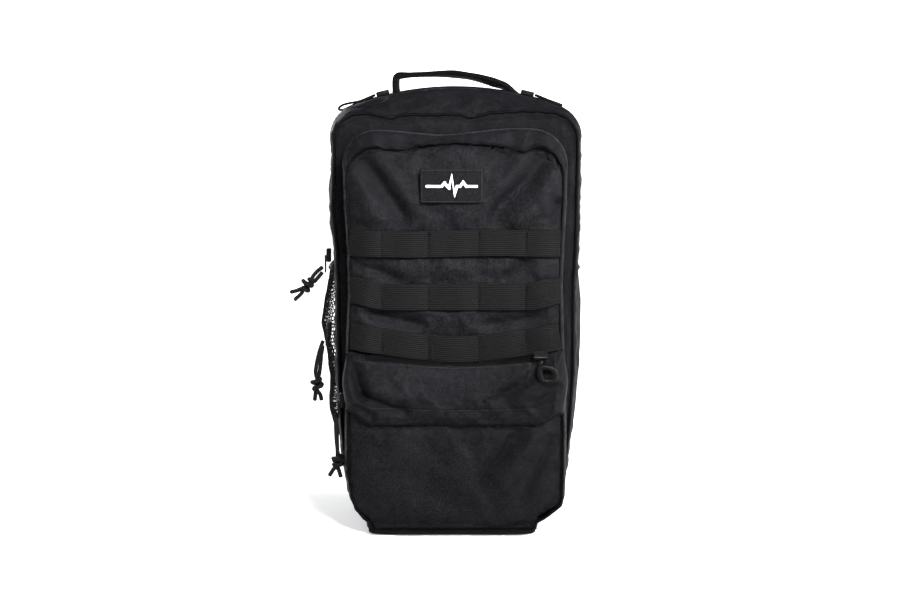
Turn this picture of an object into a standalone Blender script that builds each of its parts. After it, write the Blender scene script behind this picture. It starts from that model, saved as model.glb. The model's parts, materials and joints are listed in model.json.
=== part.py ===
"""Trauma backpack, 260 x 188 x 444 mm. Metres: X across, Y from front (-) to back (+), Z up.

The pack stands on its base. The front half opens on a hinge along the foot, the front pocket's panel
opens on a second one, and six zip sliders run on straight stretches of their tapes.
"""

import math

import bmesh
import bpy
from mathutils import Matrix, Vector

# Driving dimensions
GAP = 0.0003                  # clearance between touching pieces
BODY_HALF_WIDTH = 0.120
BODY_TOP = 0.422              # crown of the arched top
BODY_FOOT = 0.0033
POUCH_REACH = 0.130           # outermost point of each side pocket
POUCH_FRONT, POUCH_BACK = 0.0060, 0.0680
POUCH_FOOT, POUCH_HEIGHT = 0.078, 0.166
CROWN_LEAN = math.radians(19)  # slope of the top where it meets the round corners
FRONT_LEAN = math.radians(2)   # the same on the flatter front wall
FRONT_DROP = 0.017            # how far the front wall's top lies below the crown
POCKET_LEAN = math.radians(2)
PANEL_DROP = 0.008            # how far the pocket panel's top lies below its zip
CLOTH = 0.002                 # lined nylon wall
TAPE = 0.0014                 # zip tape
WEBBING = 0.0018
SHEET_THICKNESS = 0.0015      # frame sheet and organiser panel
WEBBING_WIDTH = 0.025
STITCH_LIFT = 0.0018          # a looped band's middle above its backing, at each stitch
SHELL_RADIUS = 0.030
FOOT_RADIUS = 0.018

# Planes from back to front
STRAP_BACK, STRAP_FRONT = 0.0940, 0.0830
PAD_BACK, PAD_FRONT = 0.0827, 0.0727
REAR_WALL, REAR_MOUTH = 0.0724, 0.0020
MAIN_ZIP_MIDDLE, MAIN_ZIP_FRONT = -0.0060, -0.0140
FRONT_MOUTH, FRONT_WALL = MAIN_ZIP_FRONT - GAP, -0.0393
GUSSET_BACK, GUSSET_FRONT = FRONT_WALL - GAP, -0.0516
POCKET_ZIP_MIDDLE, POCKET_ZIP_FRONT = -0.0567, -0.0616
PANEL_MOUTH, PANEL_WALL = POCKET_ZIP_FRONT - GAP, -0.0739
FRONT_FACE = -0.0923          # front of the lower pocket

# Front pocket
POCKET_HALF_WIDTH = 0.1055
POCKET_TOP = 0.384
POCKET_FOOT = 0.0060
POCKET_RADIUS = 0.030
POCKET_BASE_REACH = 0.084     # half width of the flat foot between the panel's round corners
PANEL_HALF_WIDTH = 0.1025
LOWER_POCKET_FOOT, LOWER_POCKET_TOP = 0.104, 0.178
ZIP_SLOPE_BACK = -0.0805      # where the lower pocket's upper edge starts to slope
LOWER_ZIP_END = 0.090
LOWER_ZIP_NORMAL = Vector((0, -1, 1)).normalized()
LOWER_ZIP_SLOPE = Vector((0, -1, -1)).normalized()
ROW_FEET = (0.268, 0.219, 0.180)
ROW_STITCHES = (-0.097, -0.068, -0.024, 0.023, 0.067, 0.097)
ROW_BULGE = 0.0035            # how far a row stands off between two stitches
LABEL = (-0.0325, 0.3185, 0.0265, 0.3510)

# Elastic rows inside the rear half
ELASTIC_FEET = (0.300, 0.200, 0.090)
ELASTIC_WIDTH, ELASTIC_LOOP, ELASTIC_REACH = 0.050, 0.038, 0.016

# Handle, straps and base
HANDLE_Y, HANDLE_WIDTH, HANDLE_THICKNESS = 0.056, 0.018, 0.0040
HANDLE_ROOT, HANDLE_TOP = 0.058, 0.4440
HANDLE_CLEARANCE = 0.0125     # keeps the wide legs off the crown as the handle swings
STRAP_START_Z = 0.3835
STRAP_TOP = 0.3930            # the seam that the straps swing from
YOKE_THICKNESS = 0.003
STRAP_END_Z = 0.168
BASE_THICKNESS = 0.003
BASE_FRONT = -0.0360

# Zip sliders and the cords on them
SLIDER_LENGTH, SLIDER_WIDTH, SLIDER_HEIGHT = 0.013, 0.008, 0.0045
TAB_LENGTH, TAB_WIDTH, TAB_THICKNESS = 0.017, 0.007, 0.0014
CORD = 0.004
LOOP_CORD = 0.0025
KNOT_RADIUS = 0.0085

MAIN_UPPER_Z, MAIN_LOWER_Z, POCKET_SLIDER_Z = 0.262, 0.190, 0.128
TOP_ZIP_Y = 0.034
TOP_SLIDER_X = 0.070
LOWER_SLIDER_X = 0.080

# Routes of the cords' strands, from the tab's eye through the knot to the cut end
MAIN_UPPER_STRANDS = (
    ((-0.1290, -0.0050, 0.2500), (-0.1335, -0.0060, 0.2465), (-0.1385, -0.0065, 0.2410),
     (-0.1440, -0.0060, 0.2335), (-0.1520, -0.0050, 0.2280), (-0.1600, -0.0040, 0.2255)),
    ((-0.1290, -0.0070, 0.2450), (-0.1325, -0.0070, 0.2410), (-0.1370, -0.0060, 0.2360),
     (-0.1430, -0.0055, 0.2310), (-0.1500, -0.0070, 0.2240), (-0.1560, -0.0085, 0.2185)),
)
MAIN_LOWER_STRANDS = (
    ((-0.1290, -0.0050, 0.1775), (-0.1320, -0.0060, 0.1690), (-0.1350, -0.0065, 0.1570),
     (-0.1365, -0.0060, 0.1450), (-0.1360, -0.0050, 0.1330), (-0.1375, -0.0040, 0.1190)),
    ((-0.1290, -0.0070, 0.1730), (-0.1305, -0.0070, 0.1640), (-0.1315, -0.0060, 0.1540),
     (-0.1330, -0.0055, 0.1430), (-0.1335, -0.0070, 0.1320), (-0.1305, -0.0085, 0.1200)),
)
POCKET_STRANDS = (
    ((-0.1150, -0.0560, 0.1145), (-0.1175, -0.0570, 0.1040), (-0.1200, -0.0575, 0.0900),
     (-0.1220, -0.0570, 0.0760), (-0.1245, -0.0560, 0.0640), (-0.1305, -0.0550, 0.0545)),
    ((-0.1150, -0.0580, 0.1100), (-0.1160, -0.0585, 0.1000), (-0.1175, -0.0580, 0.0880),
     (-0.1200, -0.0570, 0.0750), (-0.1210, -0.0580, 0.0640), (-0.1185, -0.0590, 0.0540)),
)
# Along the crown, up from it and across the pack, from the slider
LOOP_ROUTE = (
    (0.0010, 0.0030, -0.0016), (0.0080, 0.0022, -0.0026), (0.0170, 0.0016, -0.0034),
    (0.0250, 0.0015, -0.0028), (0.0280, 0.0015, 0.0000), (0.0250, 0.0015, 0.0028),
    (0.0170, 0.0016, 0.0034), (0.0080, 0.0022, 0.0026), (0.0010, 0.0030, 0.0016),
)

BLACK = (0.012, 0.012, 0.014)


# Scene, materials and general shapes

def clear_scene():
    for obj in list(bpy.data.objects):
        bpy.data.objects.remove(obj, do_unlink=True)


def make_collection(name):
    made = bpy.data.collections.new(name)
    bpy.context.scene.collection.children.link(made)
    return made


def make_material(name, colour, roughness, metallic=0.0):
    made = bpy.data.materials.new(name)
    made.use_nodes = True
    shader = made.node_tree.nodes["Principled BSDF"]
    shader.inputs["Base Color"].default_value = (*colour, 1.0)
    shader.inputs["Roughness"].default_value = roughness
    shader.inputs["Metallic"].default_value = metallic
    return made


def make_materials():
    return {
        "oxford": make_material("oxford", BLACK, 0.75),
        "webbing": make_material("webbing", (0.016, 0.016, 0.016), 0.8),
        "mesh": make_material("mesh", (0.010, 0.010, 0.010), 0.7),
        "zip": make_material("zip", (0.020, 0.020, 0.021), 0.45),
        "slider": make_material("slider", (0.030, 0.030, 0.032), 0.35, 0.8),
        "cord": make_material("cord", (0.014, 0.014, 0.015), 0.65),
        "plastic": make_material("plastic", (0.015, 0.015, 0.016), 0.4),
        "label": make_material("label", (0.018, 0.018, 0.020), 0.6),
        "padding": make_material("padding", (0.011, 0.011, 0.012), 0.85),
        "elastic": make_material("elastic", (0.020, 0.020, 0.022), 0.8),
    }


def add_object(name, data, material, home):
    obj = bpy.data.objects.new(name, data)
    home.objects.link(obj)
    data.materials.append(material)
    return obj


def shade_round(mesh):
    mesh.shade_smooth()
    mesh.set_sharp_from_angle(angle=math.radians(40))


def mesh_object(name, bm, material, home):
    bmesh.ops.recalc_face_normals(bm, faces=bm.faces)
    mesh = bpy.data.meshes.new(name)
    bm.to_mesh(mesh)
    bm.free()
    shade_round(mesh)
    return add_object(name, mesh, material, home)


def hang_on_hinge(name, pivot, nodes, home):
    """Parents the nodes to an empty on their joint's axis and leaves them in place."""
    hinge = bpy.data.objects.new(name, None)
    hinge.empty_display_size = 0.02
    home.objects.link(hinge)
    hinge.location = pivot
    for node in nodes:
        obj = bpy.data.objects[node]
        obj.parent = hinge
        obj.matrix_parent_inverse = Matrix.Translation(-Vector(pivot))


def solidify(obj, thickness, offset=0.0):
    modifier = obj.modifiers.new("thickness", "SOLIDIFY")
    modifier.thickness = thickness
    modifier.offset = offset
    modifier.use_even_offset = True


def round_edges(obj, width, segments=2):
    modifier = obj.modifiers.new("rounding", "BEVEL")
    modifier.width = width
    modifier.segments = segments
    modifier.limit_method = "ANGLE"
    modifier.angle_limit = math.radians(40)


def arc(centre, radius, start, end, steps):
    return [
        (centre[0] + radius * math.cos(start + (end - start) * i / steps),
         centre[1] + radius * math.sin(start + (end - start) * i / steps))
        for i in range(steps + 1)
    ]


def outline(half_width, foot, top, radius, foot_radius, lean):
    """XZ outline of a pack panel, from the foot's right end round over the crown to its left end."""
    edge = half_width - radius * (1 - math.sin(lean))
    rise = edge * math.tan(lean) / 2
    corner = (half_width - radius, top - rise - radius * math.cos(lean))
    foot_corner = (half_width - foot_radius, foot + foot_radius)
    right = arc(foot_corner, foot_radius, -math.pi / 2, 0, 3)
    right += arc(corner, radius, 0, math.pi / 2 - lean, 4)
    right += [(edge * t, top - rise * t * t) for t in (0.66, 0.33)]
    left = [(-x, z) for x, z in reversed(right)]
    return right + [(0, top)] + left


def crown_height(x):
    """Height of the main shell's top above x."""
    edge = BODY_HALF_WIDTH - SHELL_RADIUS * (1 - math.sin(CROWN_LEAN))
    rise = edge * math.tan(CROWN_LEAN) / 2
    return BODY_TOP - rise * (x / edge) ** 2


def crown_place(side, distance, y, lift):
    """A point above the crown, the direction down it towards the side, and its normal there."""
    x = side * distance
    fall = crown_height(distance + 0.005) - crown_height(distance - 0.005)
    along = Vector((side * 0.010, 0, fall)).normalized()
    outward = Vector((-side * along.z, 0, abs(along.x)))
    return Vector((x, y, crown_height(x))) + outward * lift, along, outward


def facing(point, along, outward):
    """The placing of a piece whose own X runs along and whose own Z points outward."""
    across = outward.cross(along)
    return Matrix.Translation(point) @ Matrix((along, across, outward)).transposed().to_4x4()


def body_outline(inset=0.0, drop=0.0, lean=CROWN_LEAN):
    half_width = BODY_HALF_WIDTH - inset
    return outline(half_width, BODY_FOOT, BODY_TOP - inset - drop, SHELL_RADIUS, FOOT_RADIUS, lean)


def pocket_outline(inset=0.0, drop=0.0):
    half_width = POCKET_HALF_WIDTH - inset
    top = POCKET_TOP - inset - drop
    return outline(half_width, POCKET_FOOT, top, POCKET_RADIUS, FOOT_RADIUS, POCKET_LEAN)


def tray(name, rings, wall, material, home, has_foot=True):
    """A lofted open shell through (outline, y) rings, closed by a wall at its last ring."""
    bm = bmesh.new()
    loops = [[bm.verts.new((x, y, z)) for x, z in points] for points, y in rings]
    for first, second in zip(loops, loops[1:]):
        count = len(first) if has_foot else len(first) - 1
        for i in range(count):
            j = (i + 1) % len(first)
            bm.faces.new((first[i], first[j], second[j], second[i]))
    bm.faces.new(loops[-1])
    obj = mesh_object(name, bm, material, home)
    solidify(obj, wall, offset=-1.0)
    return obj


def ribbon(name, path, along, thickness, material, home, floor=False):
    """A strip swept from a path of points by the vector along; floor closes the space inside the path."""
    bm = bmesh.new()
    verts = [bm.verts.new(point) for point in path]
    edges = [bm.edges.new(pair) for pair in zip(verts, verts[1:])]
    made = bmesh.ops.extrude_edge_only(bm, edges=edges)["geom"]
    moved = [item for item in made if isinstance(item, bmesh.types.BMVert)]
    bmesh.ops.translate(bm, verts=moved, vec=along)
    if floor:
        bm.faces.new(verts)
    obj = mesh_object(name, bm, material, home)
    solidify(obj, thickness)
    return obj


def slab(name, outlines, y_front, y_back, material, home):
    """A flat plate in the XZ plane; outlines after the first are holes."""
    curve = bpy.data.curves.new(name, "CURVE")
    curve.dimensions = "2D"
    curve.fill_mode = "BOTH"
    curve.extrude = (y_back - y_front) / 2
    for points in outlines:
        spline = curve.splines.new("POLY")
        spline.points.add(len(points) - 1)
        for target, (x, z) in zip(spline.points, points):
            target.co = (x, z, 0, 1)
        spline.use_cyclic_u = True
    obj = add_object(name, curve, material, home)
    obj.location = (0, (y_front + y_back) / 2, 0)
    obj.rotation_euler = (math.pi / 2, 0, 0)
    return obj


def box(name, low, high, material, home, rounding=0.0):
    bm = bmesh.new()
    bmesh.ops.create_cube(bm, size=1.0)
    size = Vector(high) - Vector(low)
    middle = (Vector(high) + Vector(low)) / 2
    bmesh.ops.scale(bm, vec=size, verts=bm.verts)
    bmesh.ops.translate(bm, vec=middle, verts=bm.verts)
    obj = mesh_object(name, bm, material, home)
    if rounding:
        round_edges(obj, rounding)
    return obj


def rectangle(left, foot, right, top, radius):
    corners = ((right, foot, -90), (right, top, 0), (left, top, 90), (left, foot, 180))
    points = []
    for x, z, start in corners:
        centre = (x - math.copysign(radius, x - (left + right) / 2),
                  z - math.copysign(radius, z - (foot + top) / 2))
        points += arc(centre, radius, math.radians(start), math.radians(start + 90), 3)
    return points


def smooth_route(points, spacing):
    """Points at an even spacing on a Catmull-Rom curve through the route's points."""
    route = [Vector(p) for p in points]
    route = [2 * route[0] - route[1]] + route + [2 * route[-1] - route[-2]]
    fine = []
    for a, b, c, d in zip(route, route[1:], route[2:], route[3:]):
        for step in range(12):
            t = step / 12
            fine.append(0.5 * (2 * b + (c - a) * t + (2 * a - 5 * b + 4 * c - d) * t ** 2
                               + (3 * b - a - 3 * c + d) * t ** 3))
    fine.append(route[-2])
    length = sum((q - p).length for p, q in zip(fine, fine[1:]))
    count = max(2, round(length / spacing))
    evenly, walked, target = [fine[0]], 0.0, length / count
    for p, q in zip(fine, fine[1:]):
        step = (q - p).length
        while walked + step >= target - 1e-9 and len(evenly) < count:
            evenly.append(p.lerp(q, (target - walked) / step))
            target += length / count
        walked += step
    return evenly + [fine[-1]]


def tube(name, route, diameter, material, home):
    curve = bpy.data.curves.new(name, "CURVE")
    curve.dimensions = "3D"
    curve.bevel_depth = diameter / 2
    curve.bevel_resolution = 2
    curve.use_fill_caps = True
    points = smooth_route(route, 2.5 * diameter)
    spline = curve.splines.new("POLY")
    spline.points.add(len(points) - 1)
    for target, point in zip(spline.points, points):
        target.co = (*point, 1)
    return add_object(name, curve, material, home)


def tube_mesh(name, route, diameter, material, home):
    """A tube as a mesh with welded caps, for a Boolean."""
    curve_object = tube(name + "_guide", route, diameter, material, home)
    bpy.context.view_layer.update()
    graph = bpy.context.evaluated_depsgraph_get()
    mesh = bpy.data.meshes.new_from_object(curve_object.evaluated_get(graph))
    bm = bmesh.new()
    bm.from_mesh(mesh)
    bmesh.ops.remove_doubles(bm, verts=bm.verts, dist=1e-5)
    bmesh.ops.recalc_face_normals(bm, faces=bm.faces)
    bm.to_mesh(mesh)
    bm.free()
    obj = bpy.data.objects.new(name, mesh)
    obj.matrix_world = curve_object.matrix_world
    home.objects.link(obj)
    bpy.data.objects.remove(curve_object, do_unlink=True)
    return obj


# Main compartment, rear half

def build_back(m, home):
    pad = rectangle(-0.112, 0.012, 0.112, 0.408, 0.03)
    slab("back_panel", [pad], PAD_FRONT, PAD_BACK, m["padding"], home)
    rings = ((body_outline(), REAR_MOUTH), (body_outline(), REAR_WALL - 0.010),
             (body_outline(0.008), REAR_WALL))
    tray("rear_shell", rings, CLOTH, m["oxford"], home)
    sheet_back = REAR_WALL - CLOTH - GAP
    sheet = rectangle(-0.100, 0.030, 0.100, 0.382, 0.02)
    slab("frame_sheet", [sheet], sheet_back - SHEET_THICKNESS, sheet_back, m["plastic"], home)
    organiser_back = sheet_back - SHEET_THICKNESS - GAP
    organiser_front = organiser_back - SHEET_THICKNESS
    slab("organiser_panel", [rectangle(-0.104, 0.024, 0.104, 0.386, 0.02)],
         organiser_front, organiser_back, m["oxford"], home)
    return organiser_front


def build_elastic_row(name, foot, face, m, home):
    """An elastic band that stands off the organiser panel in five loops between its stitches."""
    stitches = [-0.095 + ELASTIC_LOOP * i for i in range(6)]
    near = face - STITCH_LIFT
    path = []
    for left, right in zip(stitches, stitches[1:]):
        path += [(left + (right - left) * t, near - ELASTIC_REACH * math.sin(math.pi * t), foot)
                 for t in (0, 0.2, 0.4, 0.6, 0.8)]
    path.append((stitches[-1], near, foot))
    ribbon(name, path, (0, 0, ELASTIC_WIDTH), WEBBING, m["elastic"], home)


def build_base(m, home):
    box("base_panel", (-0.100, BASE_FRONT, 0), (0.100, REAR_WALL, BASE_THICKNESS), m["oxford"], home)


def build_main_zip(m, home):
    tape_path = body_outline(TAPE / 2)
    for name, near, far in (("main_zip_rear_tape", MAIN_ZIP_MIDDLE + GAP, REAR_MOUTH - GAP),
                            ("main_zip_front_tape", MAIN_ZIP_FRONT, MAIN_ZIP_MIDDLE)):
        ribbon(name, [(x, near, z) for x, z in tape_path], (0, far - near, 0), TAPE, m["zip"], home)


def build_top_zip(m, home):
    """The rear sleeve's zip lies across the crown, in front of the handle."""
    lift = GAP + TAPE / 2
    path = [(x, TOP_ZIP_Y - 0.006, crown_height(x) + lift)
            for x in (0.023 * i for i in range(-4, 5))]
    ribbon("sleeve_zip_tape", path, (0, 0.012, 0), TAPE, m["zip"], home)


def build_side_pocket(name, side, material, m, home):
    """An open-topped pouch on the rear half's gusset; side is -1 on the left and 1 on the right."""
    near, far = POUCH_FRONT, POUCH_BACK
    inner = BODY_HALF_WIDTH + GAP + WEBBING / 2
    reach = POUCH_REACH - WEBBING / 2 - inner
    path = []
    for step in range(9):
        t = step / 8
        bulge = reach * min(1.0, 2.4 * math.sin(math.pi * t) ** 0.8)
        path.append((side * (inner + bulge), near + (far - near) * t, POUCH_FOOT))
    ribbon(name, path, (0, 0, POUCH_HEIGHT), WEBBING, m[material], home, floor=True)


# Main compartment, front half, and the front pocket

def build_front_half(m, home):
    rings = ((body_outline(), FRONT_MOUTH), (body_outline(), FRONT_MOUTH - 0.005),
             (body_outline(0.001, FRONT_DROP / 2, CROWN_LEAN / 2), FRONT_WALL + 0.008),
             (body_outline(0.006, FRONT_DROP, FRONT_LEAN), FRONT_WALL))
    tray("front_shell", rings, CLOTH, m["oxford"], home, has_foot=False)
    gusset = [(x, GUSSET_FRONT, z) for x, z in pocket_outline(0.001)]
    ribbon("pocket_gusset", gusset, (0, GUSSET_BACK - GUSSET_FRONT, 0), CLOTH, m["oxford"], home)
    box("pocket_base", (-POCKET_BASE_REACH, PANEL_WALL + 0.0050, POCKET_FOOT),
        (POCKET_BASE_REACH, GUSSET_BACK, POCKET_FOOT + CLOTH), m["oxford"], home)
    inside = FRONT_WALL + CLOTH + GAP
    path = [(0.090, inside + TAPE, 0.060), (0.088, inside + 0.012, 0.060),
            (-0.088, inside + 0.012, 0.060), (-0.090, inside + TAPE, 0.060)]
    ribbon("inner_mesh_pocket", path, (0, 0, 0.130), TAPE, m["mesh"], home, floor=True)


def build_pocket_zip(m, home):
    tape_path = pocket_outline(TAPE / 2)
    for name, near, far in (("pocket_zip_rear_tape", POCKET_ZIP_MIDDLE + GAP, GUSSET_FRONT - GAP),
                            ("pocket_zip_front_tape", POCKET_ZIP_FRONT, POCKET_ZIP_MIDDLE)):
        ribbon(name, [(x, near, z) for x, z in tape_path], (0, far - near, 0), TAPE, m["zip"], home)


def build_pocket_panel(m, home):
    rings = ((pocket_outline(), PANEL_MOUTH), (pocket_outline(), PANEL_MOUTH - 0.003),
             (pocket_outline(0.001, PANEL_DROP / 2), PANEL_WALL + 0.004),
             (pocket_outline(0.004, PANEL_DROP), PANEL_WALL))
    tray("pocket_panel", rings, CLOTH, m["oxford"], home, has_foot=False)


def build_webbing_row(name, foot, m, home):
    """A row of webbing, flat at each stitch and standing off the panel between them."""
    near = PANEL_WALL - STITCH_LIFT
    path = []
    for left, right in zip(ROW_STITCHES, ROW_STITCHES[1:]):
        path += [(left + (right - left) * t, near - ROW_BULGE * math.sin(math.pi * t), foot)
                 for t in (0, 0.25, 0.5, 0.75)]
    path.append((ROW_STITCHES[-1], near, foot))
    ribbon(name, path, (0, 0, WEBBING_WIDTH), WEBBING, m["webbing"], home)


def build_label(m, home):
    slab("label_patch", [rectangle(*LABEL, 0.001)],
         PANEL_WALL - GAP - 0.001, PANEL_WALL - GAP, m["label"], home)


def lower_zip_place(x, down, lift):
    """A point above the lower pocket's sloping upper edge, down it from its back corner."""
    corner = Vector((x, ZIP_SLOPE_BACK, LOWER_POCKET_TOP - 0.001))
    return corner + LOWER_ZIP_NORMAL * lift + LOWER_ZIP_SLOPE * down


def build_lower_pocket(m, home):
    """A bellows pocket with its back open to the panel and a zip along its sloping upper edge."""
    root = PANEL_WALL - 2 * GAP
    steps = ((0.0, root), (0.001, ZIP_SLOPE_BACK), (0.011, ZIP_SLOPE_BACK - 0.010), (0.016, FRONT_FACE))
    rings = []
    for inset, y in steps:
        half = PANEL_HALF_WIDTH - 0.002 - inset
        foot = LOWER_POCKET_FOOT + inset * 0.6
        rings.append((rectangle(-half, foot, half, LOWER_POCKET_TOP - inset, 0.012), y))
    tray("lower_pocket", rings, CLOTH, m["oxford"], home)
    near = lower_zip_place(0, 0.002, GAP + TAPE / 2)
    ends = [near + Vector((x, 0, 0)) for x in (-LOWER_ZIP_END, LOWER_ZIP_END)]
    ribbon("lower_zip_tape", ends, LOWER_ZIP_SLOPE * 0.009, TAPE, m["zip"], home)
    box("hem_tab", (-0.028, root - 0.0015, LOWER_POCKET_FOOT - 0.009),
        (-0.006, root, LOWER_POCKET_FOOT - GAP), m["webbing"], home)


# Handle and shoulder straps

def build_handle(m, home):
    """The arch of the webbing handle, above the sewn roots that it swings about."""
    lower = crown_height(HANDLE_ROOT) + HANDLE_CLEARANCE
    path = [(-HANDLE_ROOT, lower), (-HANDLE_ROOT, 0.434), (-HANDLE_ROOT + 0.005, 0.4390),
            (-0.030, 0.4410), (0, HANDLE_TOP - HANDLE_THICKNESS / 2), (0.026, 0.4395),
            (0.046, 0.4350), (HANDLE_ROOT - 0.003, 0.4330), (HANDLE_ROOT, lower)]
    front = HANDLE_Y - HANDLE_WIDTH / 2
    ribbon("grab_handle", [(x, front, z) for x, z in path], (0, HANDLE_WIDTH, 0),
           HANDLE_THICKNESS, m["webbing"], home)
    for side_name, side in (("left", -1), ("right", 1)):
        point, along, outward = crown_place(side, HANDLE_ROOT, HANDLE_Y, GAP)
        anchor = box(f"handle_anchor_{side_name}", (-0.007, -0.011, 0), (0.007, 0.011, 0.0012),
                     m["webbing"], home)
        anchor.matrix_world = facing(point, along, outward)


def strap_centre(t):
    """Centre line of the padded strap from its hinge, t = 0, to its lower end, t = 1, on the +X side."""
    x = 0.046 + 0.036 * math.sin(math.pi * 0.62 * t)
    return (x, STRAP_START_Z + (STRAP_END_Z - STRAP_START_Z) * t)


def strap_outline(side):
    steps = 8
    outer, inner = [], []
    for step in range(steps + 1):
        t = step / steps
        x, z = strap_centre(t)
        ahead = strap_centre(t + 0.01)
        direction = Vector((ahead[0] - x, ahead[1] - z)).normalized()
        half = 0.031 - 0.007 * t
        outer.append((side * (x - direction.y * half), z + direction.x * half))
        inner.append((side * (x + direction.y * half), z - direction.x * half))
    return outer + inner[::-1]


def build_ladder_lock(side_name, x, z, middle, m, home):
    frame = rectangle(x - 0.018, z - 0.033, x + 0.018, z - 0.009, 0.003)
    slots = [rectangle(x - 0.0135, low, x + 0.0135, low + 0.005, 0.001)
             for low in (z - 0.030, z - 0.018)]
    slab(f"ladder_lock_{side_name}", [frame, *slots], middle - 0.002, middle + 0.002,
         m["plastic"], home)


def build_strap_anchor(side_name, x, m, home):
    anchor = [(x - 0.018, 0.020), (x + 0.018, 0.020), (x + 0.014, 0.050), (x - 0.014, 0.050)]
    face = PAD_BACK + GAP
    slab(f"strap_anchor_{side_name}", [anchor], face, face + 0.0008, m["oxford"], home)


def build_strap(side_name, side, m, home):
    """A padded strap, its ladder lock, the webbing up to the lock and the free tail down from it."""
    slab(f"shoulder_strap_{side_name}", [strap_outline(side)], STRAP_FRONT, STRAP_BACK,
         m["padding"], home)
    x, z = strap_centre(1)
    x *= side
    middle = (STRAP_FRONT + STRAP_BACK) / 2
    build_ladder_lock(side_name, x, z, middle, m, home)
    webbing = [(x, middle - 0.0002, z - 0.0345), (x + side * 0.004, 0.0862, 0.080),
               (x + side * 0.006, 0.0848, 0.036)]
    tail = [(x, middle + 0.0035, z - 0.022), (x, middle + 0.0038, z - 0.060),
            (x - side * 0.001, middle + 0.0036, z - 0.110)]
    half = Vector((WEBBING_WIDTH / 2, 0, 0))
    for name, path in (("webbing", webbing), ("tail", tail)):
        ribbon(f"strap_{name}_{side_name}", [Vector(p) - half for p in path], 2 * half, WEBBING,
               m["webbing"], home)
    build_strap_anchor(side_name, x + side * 0.006, m, home)


def build_yoke(m, home):
    slab("strap_yoke", [rectangle(-0.086, STRAP_TOP + 3 * GAP, 0.086, 0.4075, 0.006)],
         PAD_BACK + GAP, PAD_BACK + YOKE_THICKNESS, m["oxford"], home)


# Zip sliders, their tabs and cords

def build_slider(name, point, along, outward, m, home):
    """A slider that stands on its tape at the point; its origin is there."""
    body = box(f"{name}_slider", (-SLIDER_LENGTH / 2, -SLIDER_WIDTH / 2, 0),
               (SLIDER_LENGTH / 2, SLIDER_WIDTH / 2, SLIDER_HEIGHT), m["slider"], home, rounding=0.001)
    body.matrix_world = facing(point, along, outward)


def build_tab(name, hinge, along, outward, m, home):
    """A flat pull tab with an eye at its far end; its origin is on its hinge."""
    eye = arc((TAB_LENGTH - 0.0035, 0), 0.0022, 0, 2 * math.pi, 10)[:-1]
    plate = rectangle(0, -TAB_WIDTH / 2, TAB_LENGTH, TAB_WIDTH / 2, 0.002)
    tab = slab(f"{name}_tab", [plate, eye], -TAB_THICKNESS / 2, TAB_THICKNESS / 2, m["slider"], home)
    tab.matrix_world = facing(hinge, along, outward)


def build_side_zip(name, x, y, z, m, home):
    """A slider on the left side of the pack, with its tab hanging below it."""
    down, left = Vector((0, 0, -1)), Vector((-1, 0, 0))
    point = Vector((x - GAP, y, z))
    build_slider(name, point, down, left, m, home)
    build_tab(name, point + left * (SLIDER_HEIGHT + GAP + TAB_THICKNESS / 2), down, left, m, home)


def join(obj, other):
    modifier = obj.modifiers.new("join", "BOOLEAN")
    modifier.operation = "UNION"
    modifier.solver = "EXACT"
    modifier.object = other
    other.hide_render = True
    other.display_type = "WIRE"


def build_pull(name, knot, strands, m, home, cutters):
    """Two cord strands that meet in an overhand knot and end in two short tails, as one body."""
    bm = bmesh.new()
    bmesh.ops.create_uvsphere(bm, u_segments=10, v_segments=7, radius=KNOT_RADIUS)
    bmesh.ops.scale(bm, vec=(0.85, 0.85, 1.0), verts=bm.verts)
    bmesh.ops.translate(bm, vec=knot, verts=bm.verts)
    obj = mesh_object(name, bm, m["cord"], home)
    for number, route in enumerate(strands, start=1):
        join(obj, tube_mesh(f"{name}_strand_{number}", route, CORD, m["cord"], cutters))


def build_side_pulls(m, home, cutters):
    """The routes start at each tab's eye and pass through the knot to the cut end."""
    y = MAIN_ZIP_MIDDLE
    build_pull("main_upper_pull", (-0.1440, y, 0.2325), MAIN_UPPER_STRANDS, m, home, cutters)
    build_pull("main_lower_pull", (-0.1350, y, 0.1350), MAIN_LOWER_STRANDS, m, home, cutters)
    build_pull("pocket_pull", (-0.1215, POCKET_ZIP_MIDDLE, 0.0680), POCKET_STRANDS, m, home, cutters)


def build_top_sliders(m, home):
    """A slider near each end of the sleeve zip, with a thin cord loop that lies outward along the crown."""
    for side_name, side in (("left", -1), ("right", 1)):
        point, ahead, outward = crown_place(side, TOP_SLIDER_X, TOP_ZIP_Y, 2 * GAP + TAPE)
        build_slider(f"sleeve_{side_name}", point, ahead, outward, m, home)
        start = point + ahead * (SLIDER_LENGTH / 2 + GAP)
        route = [start + ahead * along + outward * up + Vector((0, across, 0))
                 for along, up, across in LOOP_ROUTE]
        tube(f"sleeve_{side_name}_loop", route, LOOP_CORD, m["cord"], home)


def build_lower_slider(m, home):
    """The lower pocket's slider, with a tab that hangs in front of the pocket."""
    point = lower_zip_place(LOWER_SLIDER_X, 0.0065, 2 * GAP + TAPE)
    build_slider("lower_pocket", point, Vector((1, 0, 0)), LOWER_ZIP_NORMAL, m, home)
    hinge = Vector((LOWER_SLIDER_X, FRONT_FACE - GAP - TAB_THICKNESS / 2, LOWER_POCKET_TOP - 0.012))
    build_tab("lower_pocket", hinge, Vector((0, 0, -1)), Vector((0, -1, 0)), m, home)


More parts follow.
